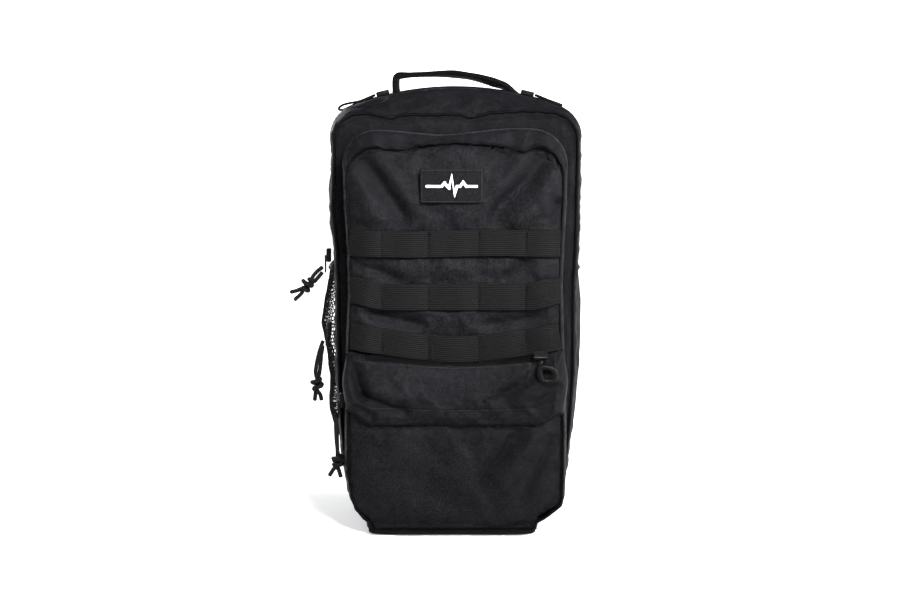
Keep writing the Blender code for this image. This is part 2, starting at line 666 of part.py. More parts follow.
def build_hinges(home):
    """One empty on each hinge's axis, with the pieces that swing about it."""
    rows = [f"webbing_row_{number}" for number in (1, 2, 3)]
    hang_on_hinge("front_half_hinge", (0, FRONT_WALL, BODY_FOOT),
                  ["front_shell", "main_zip_front_tape", "pocket_gusset", "pocket_base",
                   "pocket_zip_rear_tape", "inner_mesh_pocket"], home)
    hang_on_hinge("pocket_hinge", (0, PANEL_WALL, POCKET_FOOT),
                  ["pocket_panel", "pocket_zip_front_tape", *rows, "label_patch", "lower_pocket",
                   "lower_zip_tape", "hem_tab"], home)
    hang_on_hinge("handle_hinge", (0, HANDLE_Y, crown_height(HANDLE_ROOT)), ["grab_handle"], home)
    for side in ("left", "right"):
        hang_on_hinge(f"strap_{side}_hinge", (0, PAD_BACK + YOKE_THICKNESS, STRAP_TOP),
                      [f"shoulder_strap_{side}"], home)


def main():
    clear_scene()
    home = make_collection("trauma_backpack")
    m = make_materials()
    organiser_face = build_back(m, home)
    for number, foot in enumerate(ELASTIC_FEET, start=1):
        build_elastic_row(f"elastic_row_{number}", foot, organiser_face, m, home)
    build_base(m, home)
    build_main_zip(m, home)
    build_top_zip(m, home)
    build_side_pocket("mesh_side_pocket", -1, "mesh", m, home)
    build_side_pocket("cloth_side_pocket", 1, "oxford", m, home)
    build_front_half(m, home)
    build_pocket_zip(m, home)
    build_pocket_panel(m, home)
    for number, foot in enumerate(ROW_FEET, start=1):
        build_webbing_row(f"webbing_row_{number}", foot, m, home)
    build_label(m, home)
    build_lower_pocket(m, home)
    build_handle(m, home)
    build_yoke(m, home)
    for side_name, side in (("left", -1), ("right", 1)):
        build_strap(side_name, side, m, home)
    build_side_zip("main_upper", -BODY_HALF_WIDTH, MAIN_ZIP_MIDDLE, MAIN_UPPER_Z, m, home)
    build_side_zip("main_lower", -BODY_HALF_WIDTH, MAIN_ZIP_MIDDLE, MAIN_LOWER_Z, m, home)
    build_side_zip("pocket", -POCKET_HALF_WIDTH, POCKET_ZIP_MIDDLE, POCKET_SLIDER_Z, m, home)
    build_top_sliders(m, home)
    build_lower_slider(m, home)
    build_side_pulls(m, home, make_collection("cutters"))
    build_hinges(home)


main()
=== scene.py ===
"""Trauma backpack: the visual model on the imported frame. Metres, in the row frame."""

import json
import math

import bmesh
import bpy
import numpy as np
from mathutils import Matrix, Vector, noise


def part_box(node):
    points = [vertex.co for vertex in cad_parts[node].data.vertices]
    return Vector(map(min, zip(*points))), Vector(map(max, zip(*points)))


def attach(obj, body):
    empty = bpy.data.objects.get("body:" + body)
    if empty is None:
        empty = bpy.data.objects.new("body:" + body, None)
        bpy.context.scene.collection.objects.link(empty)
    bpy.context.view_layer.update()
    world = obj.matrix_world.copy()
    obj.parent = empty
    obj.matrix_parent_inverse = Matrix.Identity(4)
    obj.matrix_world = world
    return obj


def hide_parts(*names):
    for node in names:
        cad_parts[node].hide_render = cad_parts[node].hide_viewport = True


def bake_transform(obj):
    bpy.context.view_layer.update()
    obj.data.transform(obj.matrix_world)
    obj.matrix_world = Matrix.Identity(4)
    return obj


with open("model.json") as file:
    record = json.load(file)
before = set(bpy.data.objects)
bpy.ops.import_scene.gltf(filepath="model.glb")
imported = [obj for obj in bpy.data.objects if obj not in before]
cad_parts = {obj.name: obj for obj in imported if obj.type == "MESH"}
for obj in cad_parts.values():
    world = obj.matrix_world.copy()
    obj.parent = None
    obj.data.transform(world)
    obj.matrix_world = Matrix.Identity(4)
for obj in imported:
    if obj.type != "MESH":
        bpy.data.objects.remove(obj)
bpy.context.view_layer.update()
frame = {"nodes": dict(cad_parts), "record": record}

NODES = frame["nodes"]

# Driving dimensions that the CAD has too; the lean is in degrees
HALF_WIDTH = 0.12
CROWN = 0.422
CORNER = 0.03
CROWN_LEAN = 19.0
PANEL_HALF = 0.1025
WEBBING = 0.025
SLEEVE_Y = 0.034
HANDLE_Y = 0.056
# The visual model's own dimensions
PANEL_TOP = 0.372
HEM_TAB_FRONT = -0.0765
COIL_PITCH = 0.0019
SHELL_CLOTH = 0.0012
POCKET_CLOTH = 0.0011
# Vertices round the pack
COUNT = 230
# Stitches: pitch, length and width
TACK = (0.0021, 0.0017, 0.0006)
SMALL_STITCH = (0.0021, 0.0015, 0.0005)
FORWARD = (0, -1.0, 0)
BACKWARD = (0, 1.0, 0)


def placed(name, data):
    """A new object in the scene."""
    obj = bpy.data.objects.new(name, data)
    bpy.context.scene.collection.objects.link(obj)
    return obj


# Camera

def build_camera():
    data = bpy.data.cameras.new("camera")
    data.lens = 84.6
    data.sensor_width = 36
    data.shift_x = -0.0056
    data.clip_end = 50
    camera = placed("camera", data)
    camera.location = (0, -2.05, 0.469)
    camera.rotation_euler = (math.radians(83), 0, 0)
    bpy.context.scene.camera = camera


# Materials

class Tree:
    """A material's nodes, with its Principled shader."""

    def __init__(self, name, colour, roughness, specular):
        self.material = bpy.data.materials.new(name)
        self.material.use_nodes = True
        self.tree = self.material.node_tree
        self.shader = self.tree.nodes["Principled BSDF"]
        self.set("Base Color", (*colour, 1.0))
        self.set("Roughness", roughness)
        self.set("Specular IOR Level", specular)

    def set(self, socket, value):
        self.shader.inputs[socket].default_value = value

    def glow(self, strength):
        self.set("Emission Color", (1, 1, 1, 1))
        self.set("Emission Strength", strength)

    def node(self, kind, inputs=None, **settings):
        """A new node; inputs gives its sockets values, or the outputs that feed them."""
        made = self.tree.nodes.new(kind)
        for key, value in settings.items():
            setattr(made, key, value)
        for key, value in (inputs or {}).items():
            if isinstance(value, bpy.types.NodeSocket):
                self.link(value, made.inputs[key])
            else:
                made.inputs[key].default_value = value
        return made

    def link(self, source, target):
        self.tree.links.new(source, target)

    def math(self, operation, a, b):
        return self.node("ShaderNodeMath", {0: a, 1: b}, operation=operation).outputs[0]

    def wave(self, vector, direction, pitch):
        inputs = {"Scale": 2 * math.pi / 20 / pitch, "Vector": vector}
        return self.node("ShaderNodeTexWave", inputs, bands_direction=direction).outputs["Fac"]

    def noise(self, vector, scale, detail=3.0, roughness=0.55):
        inputs = {"Scale": scale, "Detail": detail, "Roughness": roughness, "Vector": vector}
        return self.node("ShaderNodeTexNoise", inputs).outputs["Fac"]

    def ramp(self, factor, stops):
        """Colours the base from (place, colour) stops."""
        made = self.node("ShaderNodeValToRGB")
        elements = made.color_ramp.elements
        while len(elements) < len(stops):
            elements.new(0.5)
        for element, (place, colour) in zip(elements, stops):
            element.position = place
            element.color = (*colour, 1.0)
        self.link(factor, made.inputs["Fac"])
        self.link(made.outputs["Color"], self.shader.inputs["Base Color"])

    def bump(self, height, distance, strength, over=None):
        inputs = {"Strength": strength, "Distance": distance, "Height": height}
        if over:
            inputs["Normal"] = over
        made = self.node("ShaderNodeBump", inputs)
        self.link(made.outputs["Normal"], self.shader.inputs["Normal"])
        return made.outputs["Normal"]

    def uv(self):
        """Each piece's own map, in metres."""
        return self.node("ShaderNodeUVMap", uv_map="metres").outputs["UV"]

    def place(self):
        return self.node("ShaderNodeTexCoord").outputs["Object"]

    def sheen(self, weight, roughness, tint):
        self.set("Sheen Weight", weight)
        self.set("Sheen Roughness", roughness)
        self.set("Sheen Tint", (*tint, 1.0))


def grey(level, blue=0.0):
    return (level, level, level * (1 + blue))


def oxford_material(name="oxford_cloth", level=0.0028):
    """Coated nylon in a plain weave, with a faint blue-violet sheen."""
    t = Tree(name, grey(level), 0.46, 0.022)
    uv, place = t.uv(), t.place()
    weave = t.math("MULTIPLY", t.wave(uv, "X", 0.0011), t.wave(uv, "Y", 0.0011))
    slub = t.noise(uv, 900, 2.0)
    mottle = t.noise(place, 26, 4.0)
    speckle = t.noise(place, 620, 1.0)
    shade = t.math("ADD", t.math("MULTIPLY", mottle, 0.2), t.math("MULTIPLY", speckle, 0.8))
    t.ramp(shade, ((0.36, grey(level * 0.35, 0.04)), (0.64, grey(level * 1.75, 0.22))))
    rough = t.math("ADD", t.math("MULTIPLY", slub, 0.2), 0.4)
    t.link(rough, t.shader.inputs["Roughness"])
    fine = t.bump(t.math("ADD", weave, t.math("MULTIPLY", slub, 0.9)), 0.00026, 0.8)
    t.bump(t.noise(place, 70, 4.0), 0.0022, 0.5, over=fine)
    t.sheen(0.003, 0.38, (0.55, 0.62, 1.0))
    return t.material


def webbing_material():
    """Nylon webbing: ribs along its length, crossed by the weft."""
    level = 0.0027
    t = Tree("webbing_cloth", grey(level), 0.52, 0.018)
    uv = t.uv()
    rib = t.wave(uv, "Y", 0.0018)
    pick = t.wave(uv, "X", 0.0012)
    height = t.math("ADD", rib, t.math("MULTIPLY", t.math("MULTIPLY", pick, rib), 0.6))
    t.ramp(height, ((0.15, grey(level * 0.6)), (0.95, grey(level * 1.3, 0.03))))
    fine = t.bump(height, 0.0003, 0.9)
    t.bump(t.noise(t.place(), 120, 3.0), 0.0005, 0.4, over=fine)
    t.sheen(0.002, 0.5, (0.9, 0.9, 1.0))
    return t.material


def cord_material():
    """Braided nylon cord: two sets of strands cross round it."""
    t = Tree("braided_cord", grey(0.004), 0.55, 0.03)
    inputs = {"Rotation": (0, 0, math.radians(38)), "Vector": t.uv()}
    turned = t.node("ShaderNodeMapping", inputs).outputs["Vector"]
    braid = t.math("MAXIMUM", t.wave(turned, "X", 0.0014), t.wave(turned, "Y", 0.0014))
    t.ramp(braid, ((0.35, grey(0.0014)), (1.0, grey(0.0055))))
    t.bump(braid, 0.0004, 0.9)
    t.sheen(0.002, 0.45, (0.85, 0.88, 1.0))
    return t.material


def padding_material():
    """Spacer mesh over foam: a honeycomb of small holes."""
    t = Tree("spacer_mesh", grey(0.007), 0.8, 0.04)
    inputs = {"Scale": 380, "Randomness": 0.25, "Vector": t.place()}
    wall = t.node("ShaderNodeTexVoronoi", inputs, feature="DISTANCE_TO_EDGE").outputs["Distance"]
    t.ramp(wall, ((0.1, grey(0.014)), (0.42, grey(0.002))))
    t.bump(t.math("MULTIPLY", wall, -1.0), 0.0009, 0.9)
    t.sheen(0.02, 0.5, (0.9, 0.9, 1.0))
    return t.material


def elastic_material():
    t = Tree("woven_elastic", grey(0.009), 0.72, 0.1)
    rib = t.wave(t.place(), "Z", 0.0016)
    t.ramp(rib, ((0.2, grey(0.005)), (0.9, grey(0.014))))
    t.bump(rib, 0.0004, 0.9)
    t.sheen(0.012, 0.5, (0.9, 0.9, 1.0))
    return t.material


def plastic_material():
    level = 0.0018
    t = Tree("moulded_plastic", grey(level), 0.4, 0.035)
    grain = t.noise(t.place(), 1400, 3.0)
    t.ramp(t.noise(t.place(), 60, 3.0), ((0.3, grey(level * 0.85)), (0.7, grey(level * 1.2))))
    t.bump(grain, 0.00012, 0.5)
    return t.material


def metal_material():
    """Black paint on zinc, rubbed thin in places."""
    t = Tree("painted_zinc", grey(0.003), 0.38, 0.06)
    wear = t.noise(t.place(), 420, 5.0, 0.7)
    t.ramp(wear, ((0.42, grey(0.0022)), (0.66, grey(0.0045)), (0.8, grey(0.016, 0.1))))
    t.bump(wear, 0.00012, 0.5)
    return t.material


def tape_material():
    """Woven zip tape with a knitted rib along it."""
    t = Tree("zip_tape", grey(0.002), 0.7, 0.02)
    uv = t.uv()
    rib = t.math("MULTIPLY", t.wave(uv, "Y", 0.0011), t.wave(uv, "X", 0.0008))
    t.ramp(rib, ((0.1, grey(0.001)), (0.8, grey(0.003))))
    t.bump(rib, 0.0003, 0.8)
    t.sheen(0.003, 0.5, (0.9, 0.9, 1.0))
    return t.material


def coil_material():
    t = Tree("zip_coil", grey(0.014), 0.4, 0.1)
    t.ramp(t.noise(t.place(), 500, 3.0), ((0.3, grey(0.004)), (0.7, grey(0.014))))
    return t.material


def net_material():
    t = Tree("knitted_net", grey(0.007), 0.6, 0.05)
    t.ramp(t.noise(t.place(), 900, 3.0), ((0.3, grey(0.004)), (0.7, grey(0.011))))
    t.bump(t.noise(t.place(), 2200, 2.0), 0.0002, 0.7)
    return t.material


def thread_material():
    t = Tree("sewing_thread", grey(0.016), 0.5, 0.2)
    t.ramp(t.noise(t.place(), 1500, 2.0), ((0.3, grey(0.002)), (0.7, grey(0.0052))))
    return t.material


def print_material():
    t = Tree("woven_mark", (0.72, 0.72, 0.71), 0.8, 0.2)
    weave = t.math("MULTIPLY", t.wave(t.place(), "X", 0.0007), t.wave(t.place(), "Z", 0.0007))
    t.ramp(weave, ((0.0, (0.6, 0.6, 0.59)), (0.6, (0.8, 0.8, 0.79))))
    t.bump(weave, 0.0002, 0.6)
    return t.material


def lining_material():
    t = Tree("lining_cloth", (0.012, 0.012, 0.014), 0.6, 0.05)
    uv = t.uv()
    grid = t.math("MAXIMUM", t.wave(uv, "X", 0.005), t.wave(uv, "Y", 0.005))
    t.ramp(grid, ((0.9, (0.012, 0.012, 0.014)), (0.99, (0.022, 0.022, 0.026))))
    t.bump(t.noise(t.place(), 90, 4.0), 0.0012, 0.5)
    t.sheen(0.01, 0.5, (0.8, 0.85, 1.0))
    return t.material


MATERIALS = {
    "oxford": oxford_material(), "webbing": webbing_material(), "cord": cord_material(),
    "padding": padding_material(), "elastic": elastic_material(), "plastic": plastic_material(),
    "slider": metal_material(), "zip": tape_material(), "coil": coil_material(),
    "mesh": net_material(), "thread": thread_material(), "print": print_material(),
    "lining": lining_material(), "label": oxford_material("label_cloth", 0.0024),
    # The binding cloth is darker than the shell cloth: painted shade standing in for the shadow along the
    # piped seams, the foot hem and the row tacks.
    "binding": oxford_material("seam_shade_binding_cloth", 0.001),
}


# Meshes

def new_object(name, points, faces, material, body, uvs=None, slot=None, replaces=(), smooth=True):
    """A mesh object that rides on a body. uvs holds one pair for each corner of each face."""
    mesh = bpy.data.meshes.new(name)
    mesh.from_pydata([tuple(p) for p in points], [], [tuple(f) for f in faces])
    if uvs is not None:
        layer = mesh.uv_layers.new(name="metres")
        layer.data.foreach_set("uv", np.asarray(uvs, np.float32).ravel())
    if smooth:
        mesh.shade_smooth()
    mesh.materials.append(MATERIALS[material])
    obj = placed(name, mesh)
    if body:
        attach(obj, body)
    if replaces:
        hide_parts(*replaces)
    return obj


def grid_data(points, closed=False):
    """Faces and corner UVs, in metres, of a grid of points; closed joins its last row to its first."""
    p = np.asarray(points, float)
    rows, columns = p.shape[:2]
    wrapped = np.concatenate([p, p[:1]]) if closed else p
    u = np.concatenate([np.zeros((1, columns)),
                        np.cumsum(np.linalg.norm(np.diff(wrapped, axis=0), axis=2), axis=0)])
    v = np.concatenate([np.zeros((rows, 1)),
                        np.cumsum(np.linalg.norm(np.diff(p, axis=1), axis=2), axis=1)], axis=1)
    v = np.concatenate([v, v[:1]]) if closed else v
    faces, uvs = [], []
    for i in range(rows if closed else rows - 1):
        k = (i + 1) % rows
        for j in range(columns - 1):
            faces.append((i * columns + j, k * columns + j, k * columns + j + 1, i * columns + j + 1))
            for a, b in ((i, j), (i + 1, j), (i + 1, j + 1), (i, j + 1)):
                uvs.append((u[a, b], v[a, b]))
    return p.reshape(-1, 3), faces, uvs


def thicken(obj, thickness, offset):
    modifier = obj.modifiers.new("thickness", "SOLIDIFY")
    modifier.thickness = thickness
    modifier.offset = offset


def round_edges(obj, width, segments=1, angle=30):
    modifier = obj.modifiers.new("edges", "BEVEL")
    modifier.width = width
    modifier.segments = segments
    modifier.limit_method = "ANGLE"
    modifier.angle_limit = math.radians(angle)


def surface(name, points, material, body, thickness=0.0, closed=False, offset=-1.0, **more):
    points, faces, uvs = grid_data(points, closed)
    obj = new_object(name, points, faces, material, body, uvs=uvs, **more)
    if thickness:
        thicken(obj, thickness, offset)
    return obj


def walked_along(points):
    """The distance from a path's first point to each of its points."""
    return np.concatenate([[0], np.cumsum(np.linalg.norm(np.diff(points, axis=0), axis=1))])


def resample(points, count):
    p = np.asarray(points, float)
    walked = walked_along(p)
    at = np.linspace(0, walked[-1], count)
    return np.stack([np.interp(at, walked, p[:, k]) for k in range(p.shape[1])], axis=1)


def smooth_path(points, count):
    """Points evenly spaced on a Catmull-Rom curve through the route's points."""
    p = [np.asarray(q, float) for q in points]
    p = [2 * p[0] - p[1]] + p + [2 * p[-1] - p[-2]]
    fine = []
    for a, b, c, d in zip(p, p[1:], p[2:], p[3:]):
        for step in range(16):
            t = step / 16
            fine.append(0.5 * (2 * b + (c - a) * t + (2 * a - 5 * b + 4 * c - d) * t ** 2
                               + (3 * b - a - 3 * c + d) * t ** 3))
    fine.append(p[-2])
    return resample(fine, count)


def path_length(points):
    return float(np.linalg.norm(np.diff(points, axis=0), axis=1).sum())


def frames_along(points):
    """Tangents and a steady pair of normals at each point of a path."""
    p = np.asarray(points, float)
    tangents = np.gradient(p, axis=0)
    tangents /= np.linalg.norm(tangents, axis=1, keepdims=True)
    first = np.array([0.0, 0.0, 1.0]) if abs(tangents[0, 2]) < 0.9 else np.array([0.0, 1.0, 0.0])
    normals = []
    side = first
    for tangent in tangents:
        side = side - tangent * side.dot(tangent)
        side /= np.linalg.norm(side)
        normals.append(side)
    normals = np.array(normals)
    return tangents, normals, np.cross(tangents, normals)


def tube(name, points, radius, material, body, sides=8, **more):
    """A round tube with domed ends, and UVs in metres."""
    p = np.asarray(points, float)
    tangents, normals, others = frames_along(p)
    radii = np.array([radius * 0.55] + [radius] * len(p) + [radius * 0.55])
    p = np.concatenate([[p[0] - tangents[0] * radius * 0.35], p, [p[-1] + tangents[-1] * radius * 0.35]])
    normals = np.concatenate([normals[:1], normals, normals[-1:]])
    others = np.concatenate([others[:1], others, others[-1:]])
    angles = np.arange(sides) * 2 * math.pi / sides
    grid = p[:, None, :] + radii[:, None, None] * (
        np.cos(angles)[None, :, None] * normals[:, None, :]
        + np.sin(angles)[None, :, None] * others[:, None, :])
    count = len(p)
    along = walked_along(p)
    faces, uvs = [], []
    for i in range(count - 1):
        for j in range(sides):
            k = (j + 1) % sides
            faces.append((i * sides + j, (i + 1) * sides + j, (i + 1) * sides + k, i * sides + k))
            for a, b in ((i, j), (i + 1, j), (i + 1, j + 1), (i, j + 1)):
                uvs.append((along[a], b * 2 * math.pi * radius / sides))
    for end, order in ((0, 1), (count - 1, -1)):
        faces.append(tuple(end * sides + j for j in range(sides))[::order])
        uvs += [(0.0, 0.0)] * sides
    return new_object(name, grid.reshape(-1, 3), faces, material, body, uvs=uvs, **more)


def copies(name, shape, faces, places, material, body, **more):
    """One mesh of many copies of a small shape; places are (origin, x axis, y axis, z axis)."""
    shape = np.asarray(shape, float)
    points, all_faces = [], []
    for number, (origin, *axes) in enumerate(places):
        points.append(shape @ np.array(axes) + origin)
        all_faces += [tuple(i + number * len(shape) for i in face) for face in faces]
    return new_object(name, np.concatenate(points), all_faces, material, body, **more)


def bar_shape(length, width, height):
    """A short bar with a rounded top and domed ends, along its own X."""
    outline = [(math.cos(a) * width / 2, math.sin(a) * height) for a in np.linspace(0, math.pi, 6)]
    points = []
    for x, scale in ((-0.5, 0.45), (-0.36, 1.0), (0.36, 1.0), (0.5, 0.45)):
        points += [(x * length, y * scale, z * scale) for y, z in outline]
    n, faces = len(outline), []
    for ring in range(3):
        for j in range(n):
            k = (j + 1) % n
            faces.append((ring * n + j, ring * n + k, (ring + 1) * n + k, (ring + 1) * n + j))
    faces += [tuple(range(n))[::-1], tuple(range(3 * n, 4 * n))]
    return points, faces


def simulated(obj, pins, pressure, shrink, cap, frames=20, stiffness=12.0, bending=0.15):
    """Inflates a cloth mesh between its pins and keeps the result; no point moves further than cap."""
    rest = points_of(obj)
    normals = np.array([tuple(v.normal) for v in obj.data.vertices])
    if pins is not None:
        group = obj.vertex_groups.new(name="pins")
        for index, weight in enumerate(pins):
            if weight > 0:
                group.add([index], float(weight), "REPLACE")
    modifier = obj.modifiers.new("cloth", "CLOTH")
    settings = modifier.settings
    settings.quality = 5
    settings.mass = 0.2
    settings.tension_stiffness = settings.compression_stiffness = stiffness
    settings.shear_stiffness = 5.0
    settings.bending_stiffness = bending
    settings.tension_damping = settings.compression_damping = settings.shear_damping = 5
    settings.air_damping = 2
    settings.shrink_min = shrink
    settings.use_pressure = True
    settings.uniform_pressure_force = pressure
    settings.effector_weights.gravity = 0
    if pins is not None:
        settings.vertex_group_mass = "pins"
    modifier.collision_settings.use_collision = False
    modifier.point_cache.frame_start = 1
    modifier.point_cache.frame_end = frames
    scene = bpy.context.scene
    for frame_number in range(1, frames + 1):
        scene.frame_set(frame_number)
    moved = points_of(obj.evaluated_get(bpy.context.evaluated_depsgraph_get()))
    obj.modifiers.remove(modifier)
    if pins is not None:
        obj.vertex_groups.remove(group)
    step = moved - rest
    out = (step * normals).sum(axis=1, keepdims=True)
    step = step - normals * np.minimum(out, 0) * 0.7
    length = np.linalg.norm(step, axis=1, keepdims=True)
    soft = cap * np.tanh(length / cap) / np.maximum(length, 1e-9)
    obj.data.vertices.foreach_set("co", (rest + step * soft).ravel())
    obj.data.update()
    scene.frame_set(1)


def points_of(obj):
    p = np.empty(len(obj.data.vertices) * 3)
    obj.data.vertices.foreach_get("co", p)
    return p.reshape(-1, 3)


def box_mapped(mesh, along):
    """UVs in metres, with U along the given axis, and V across it on each face's own side."""
    layer = mesh.uv_layers.new(name="metres")
    uvs = np.empty((len(mesh.loops), 2), np.float32)
    axis = "xyz".index(along)
    others = [k for k in range(3) if k != axis]
    for face in mesh.polygons:
        n = [abs(v) for v in face.normal]
        across = others[0] if n[others[1]] >= n[others[0]] else others[1]
        for loop in face.loop_indices:
            co = mesh.vertices[mesh.loops[loop].vertex_index].co
            uvs[loop] = (co[axis], co[across])
    layer.data.foreach_set("uv", uvs.ravel())


def world_copy(name, node):
    """A new object with a CAD node's mesh, in the shared frame."""
    mesh = NODES[node].data.copy()
    mesh.transform(NODES[node].matrix_world)
    mesh.name = name
    return placed(name, mesh), mesh


def dressed(name, node, body, material, along, bevel, soft=0.0, levels=0, shape=None):
    """A copy of a CAD node's mesh with rounded edges, UVs and its real material."""
    obj, mesh = world_copy(name, node)
    if shape:
        for vertex in mesh.vertices:
            vertex.co = shape(vertex.co)
    box_mapped(mesh, along)
    mesh.materials.clear()
    mesh.materials.append(MATERIALS[material])
    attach(obj, body)
    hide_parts(node)
    mesh.shade_smooth()
    round_edges(obj, bevel, 2, 35)
    if levels:
        modifier = obj.modifiers.new("detail", "SUBSURF")
        modifier.subdivision_type = "SIMPLE"
        modifier.levels = modifier.render_levels = levels
    if soft:
        texture = bpy.data.textures.new(f"{name}_folds", "CLOUDS")
        texture.noise_scale = 0.02
        modifier = obj.modifiers.new("folds", "DISPLACE")
        modifier.texture = texture
        modifier.strength = soft
        modifier.mid_level = 0.5
    return obj


def stitches(name, points, normals, body, pitch=0.0032, length=0.0022, width=0.00055, slot=None,
             finish="thread"):
    """A line of thread stitches that lies on a surface; one normal may serve the whole line."""
    count = max(2, int(path_length(points) / pitch))
    spots = resample(points, count + 1)
    up = resample(np.broadcast_to(normals, (len(points), 3)), count + 1)
    places = []
    for a, b, n in zip(spots, spots[1:], up):
        x = (b - a) / np.linalg.norm(b - a)
        z = n - x * n.dot(x)
        z /= np.linalg.norm(z)
        places.append(((a + b) / 2, x, np.cross(z, x), z))
    shape, faces = bar_shape(length, width, width * 0.7)
    return copies(name, shape, faces, places, finish, body, slot=slot)


def coil(name, points, normals, shift, body, phase, finish="coil"):
    """One side of a zip's coil: teeth across the middle line, shifted to their own tape."""
    count = int(path_length(points) / COIL_PITCH)
    ends = np.linspace(0, 1, len(points))
    at = (np.arange(count) + phase) / count
    spots, up = (np.stack([np.interp(at, ends, column) for column in row.T], axis=1)
                 for row in (points, normals))
    ahead = np.gradient(spots, axis=0)
    places = []
    for spot, n, t in zip(spots, up, ahead):
        t = t / np.linalg.norm(t)
        z = n - t * n.dot(t)
        z /= np.linalg.norm(z)
        across = np.cross(z, t)
        places.append((spot + np.asarray(shift), across, np.cross(z, across), z))
    shape, faces = bar_shape(0.0038, 0.00125, 0.0011)
    return copies(name, shape, faces, places, finish, body, slot="zip")


def smoothstep(x):
    x = np.clip(x, 0, 1)
    return x * x * (3 - 2 * x)


def bell(x, middle, width):
    return np.exp(-((x - middle) / width) ** 2)


def waves(x, *rows):
    """A sum of bells, each given as (height, middle, width)."""
    return sum(height * bell(x, middle, width) for height, middle, width in rows)


def rough(points, scale, seed):
    """Soft noise, from about -1 to 1, at each point; scale is three sizes in metres."""
    return np.array([
        noise.fractal(Vector((p[0] / scale[0] + seed, p[1] / scale[1] + 2 * seed, p[2] / scale[2] - seed)),
                      1.0, 2.0, 3)
        for p in points.reshape(-1, 3)]).reshape(points.shape[:-1])


def fold(x, z, start, end, width, depth):
    """A crease along a line: depth at its middle, fading over its width and towards its ends."""
    a, b = np.array(start), np.array(end)
    d = b - a
    t = ((x - a[0]) * d[0] + (z - a[1]) * d[1]) / d.dot(d)
    inside = np.clip(t, 0, 1)
    distance = np.hypot(x - a[0] - inside * d[0], z - a[1] - inside * d[1])
    fade = np.clip(np.minimum(t + 0.15, 1.15 - t) / 0.3, 0, 1)
    return depth * np.exp(-(distance / width) ** 2) * smoothstep(fade)


def arc(centre, radius, start, end):
    angles = np.linspace(start, end, 11)
    return [(centre[0] + radius * math.cos(a), centre[1] + radius * math.sin(a)) for a in angles]


def ring(half, foot, top, radius, foot_radius, lean, count, closed=False):
    """XZ points round a panel, from its right foot over its top to its left foot."""
    lean = math.radians(lean)
    edge = half - radius * (1 - math.sin(lean))
    rise = edge * math.tan(lean) / 2
    corner = (half - radius, top - rise - radius * math.cos(lean))
    right = [(0.0, foot)] if closed else []
    right += arc((half - foot_radius, foot + foot_radius), foot_radius, -math.pi / 2, 0)
    right += arc(corner, radius, 0, math.pi / 2 - lean)
    right += [(edge * t, top - rise * t * t) for t in np.linspace(0.95, 0.05, 12)]
    points = right + [(0.0, top)] + [(-x, z) for x, z in reversed(right)]
    points = resample(points, count + 1 if closed else count)
    return points[:-1] if closed else points


def crown_height(x):
    """Height of the CAD shell's top above x."""
    lean = math.radians(CROWN_LEAN)
    edge = HALF_WIDTH - CORNER * (1 - math.sin(lean))
    rise = edge * math.tan(lean) / 2
    if abs(x) > edge:
        beside = abs(x) - (HALF_WIDTH - CORNER)
        return CROWN - rise - CORNER * math.cos(lean) + math.sqrt(max(0.0, CORNER ** 2 - beside ** 2))
    return CROWN - rise * (x / edge) ** 2


# Cords: the routes repeat the CAD's, from each tab's eye through the knot to the cut end

def knotted(route_points, knot, turns, reach, phase):
    """The route with a wrap of the cord round the other strand where it passes the knot."""
    p = smooth_path(route_points, 240)
    knot = np.asarray(knot, float)
    nearest = int(np.argmin(np.linalg.norm(p - knot, axis=1)))
    tangents, normals, others = frames_along(p)
    axis = tangents[nearest]
    side = normals[nearest] - axis * normals[nearest].dot(axis)
    side /= np.linalg.norm(side)
    up = np.cross(axis, side)
    half = 0.0052
    clear = half * 1.7
    walked = walked_along(p)
    walked -= walked[nearest]
    before, after = p[walked < -clear], p[walked > clear]
    wrap = []
    for t in np.linspace(0, 1, 14 * round(turns)):
        angle = phase + turns * 2 * math.pi * t
        swell = reach * math.sin(math.pi * t) ** 0.35 if 0 < t < 1 else 0
        out = side * math.cos(angle) + up * math.sin(angle)
        wrap.append(knot + axis * half * (2 * t - 1) + swell * out)
    return smooth_path(np.concatenate([before[::14], wrap, after[::14], p[-1:]]), 150)


# Each pull's knot, body and node, and the routes of its two strands
SIDE_PULLS = {
    "main_upper": (
        (-0.144, -0.006, 0.2325), "main_upper_tab", "main_upper_pull",
        ((-0.129, -0.005, 0.25), (-0.1335, -0.006, 0.2465), (-0.1385, -0.0065, 0.241),
         (-0.144, -0.006, 0.2335), (-0.152, -0.005, 0.228), (-0.16, -0.004, 0.2255)),
        ((-0.129, -0.007, 0.245), (-0.1325, -0.007, 0.241), (-0.137, -0.006, 0.236),
         (-0.143, -0.0055, 0.231), (-0.15, -0.007, 0.224), (-0.156, -0.0085, 0.2185))),
    "main_lower": (
        (-0.135, -0.006, 0.135), "main_lower_tab", "main_lower_pull",
        ((-0.129, -0.005, 0.1775), (-0.132, -0.006, 0.169), (-0.135, -0.0065, 0.157),
         (-0.1365, -0.006, 0.145), (-0.136, -0.005, 0.133), (-0.1375, -0.004, 0.119)),
        ((-0.129, -0.007, 0.173), (-0.1305, -0.007, 0.164), (-0.1315, -0.006, 0.154),
         (-0.133, -0.0055, 0.143), (-0.1335, -0.007, 0.132), (-0.1305, -0.0085, 0.12))),
    "pocket": (
        (-0.1123, -0.0567, 0.068), "pocket_tab", "pocket_pull",
        ((-0.1135, -0.056, 0.1145), (-0.114, -0.057, 0.104), (-0.1135, -0.0575, 0.09),
         (-0.1125, -0.057, 0.076), (-0.115, -0.056, 0.064), (-0.1205, -0.055, 0.0545)),
        ((-0.1135, -0.058, 0.11), (-0.113, -0.0585, 0.1), (-0.1128, -0.058, 0.088),
         (-0.1125, -0.057, 0.075), (-0.112, -0.058, 0.064), (-0.1095, -0.059, 0.054))),
}
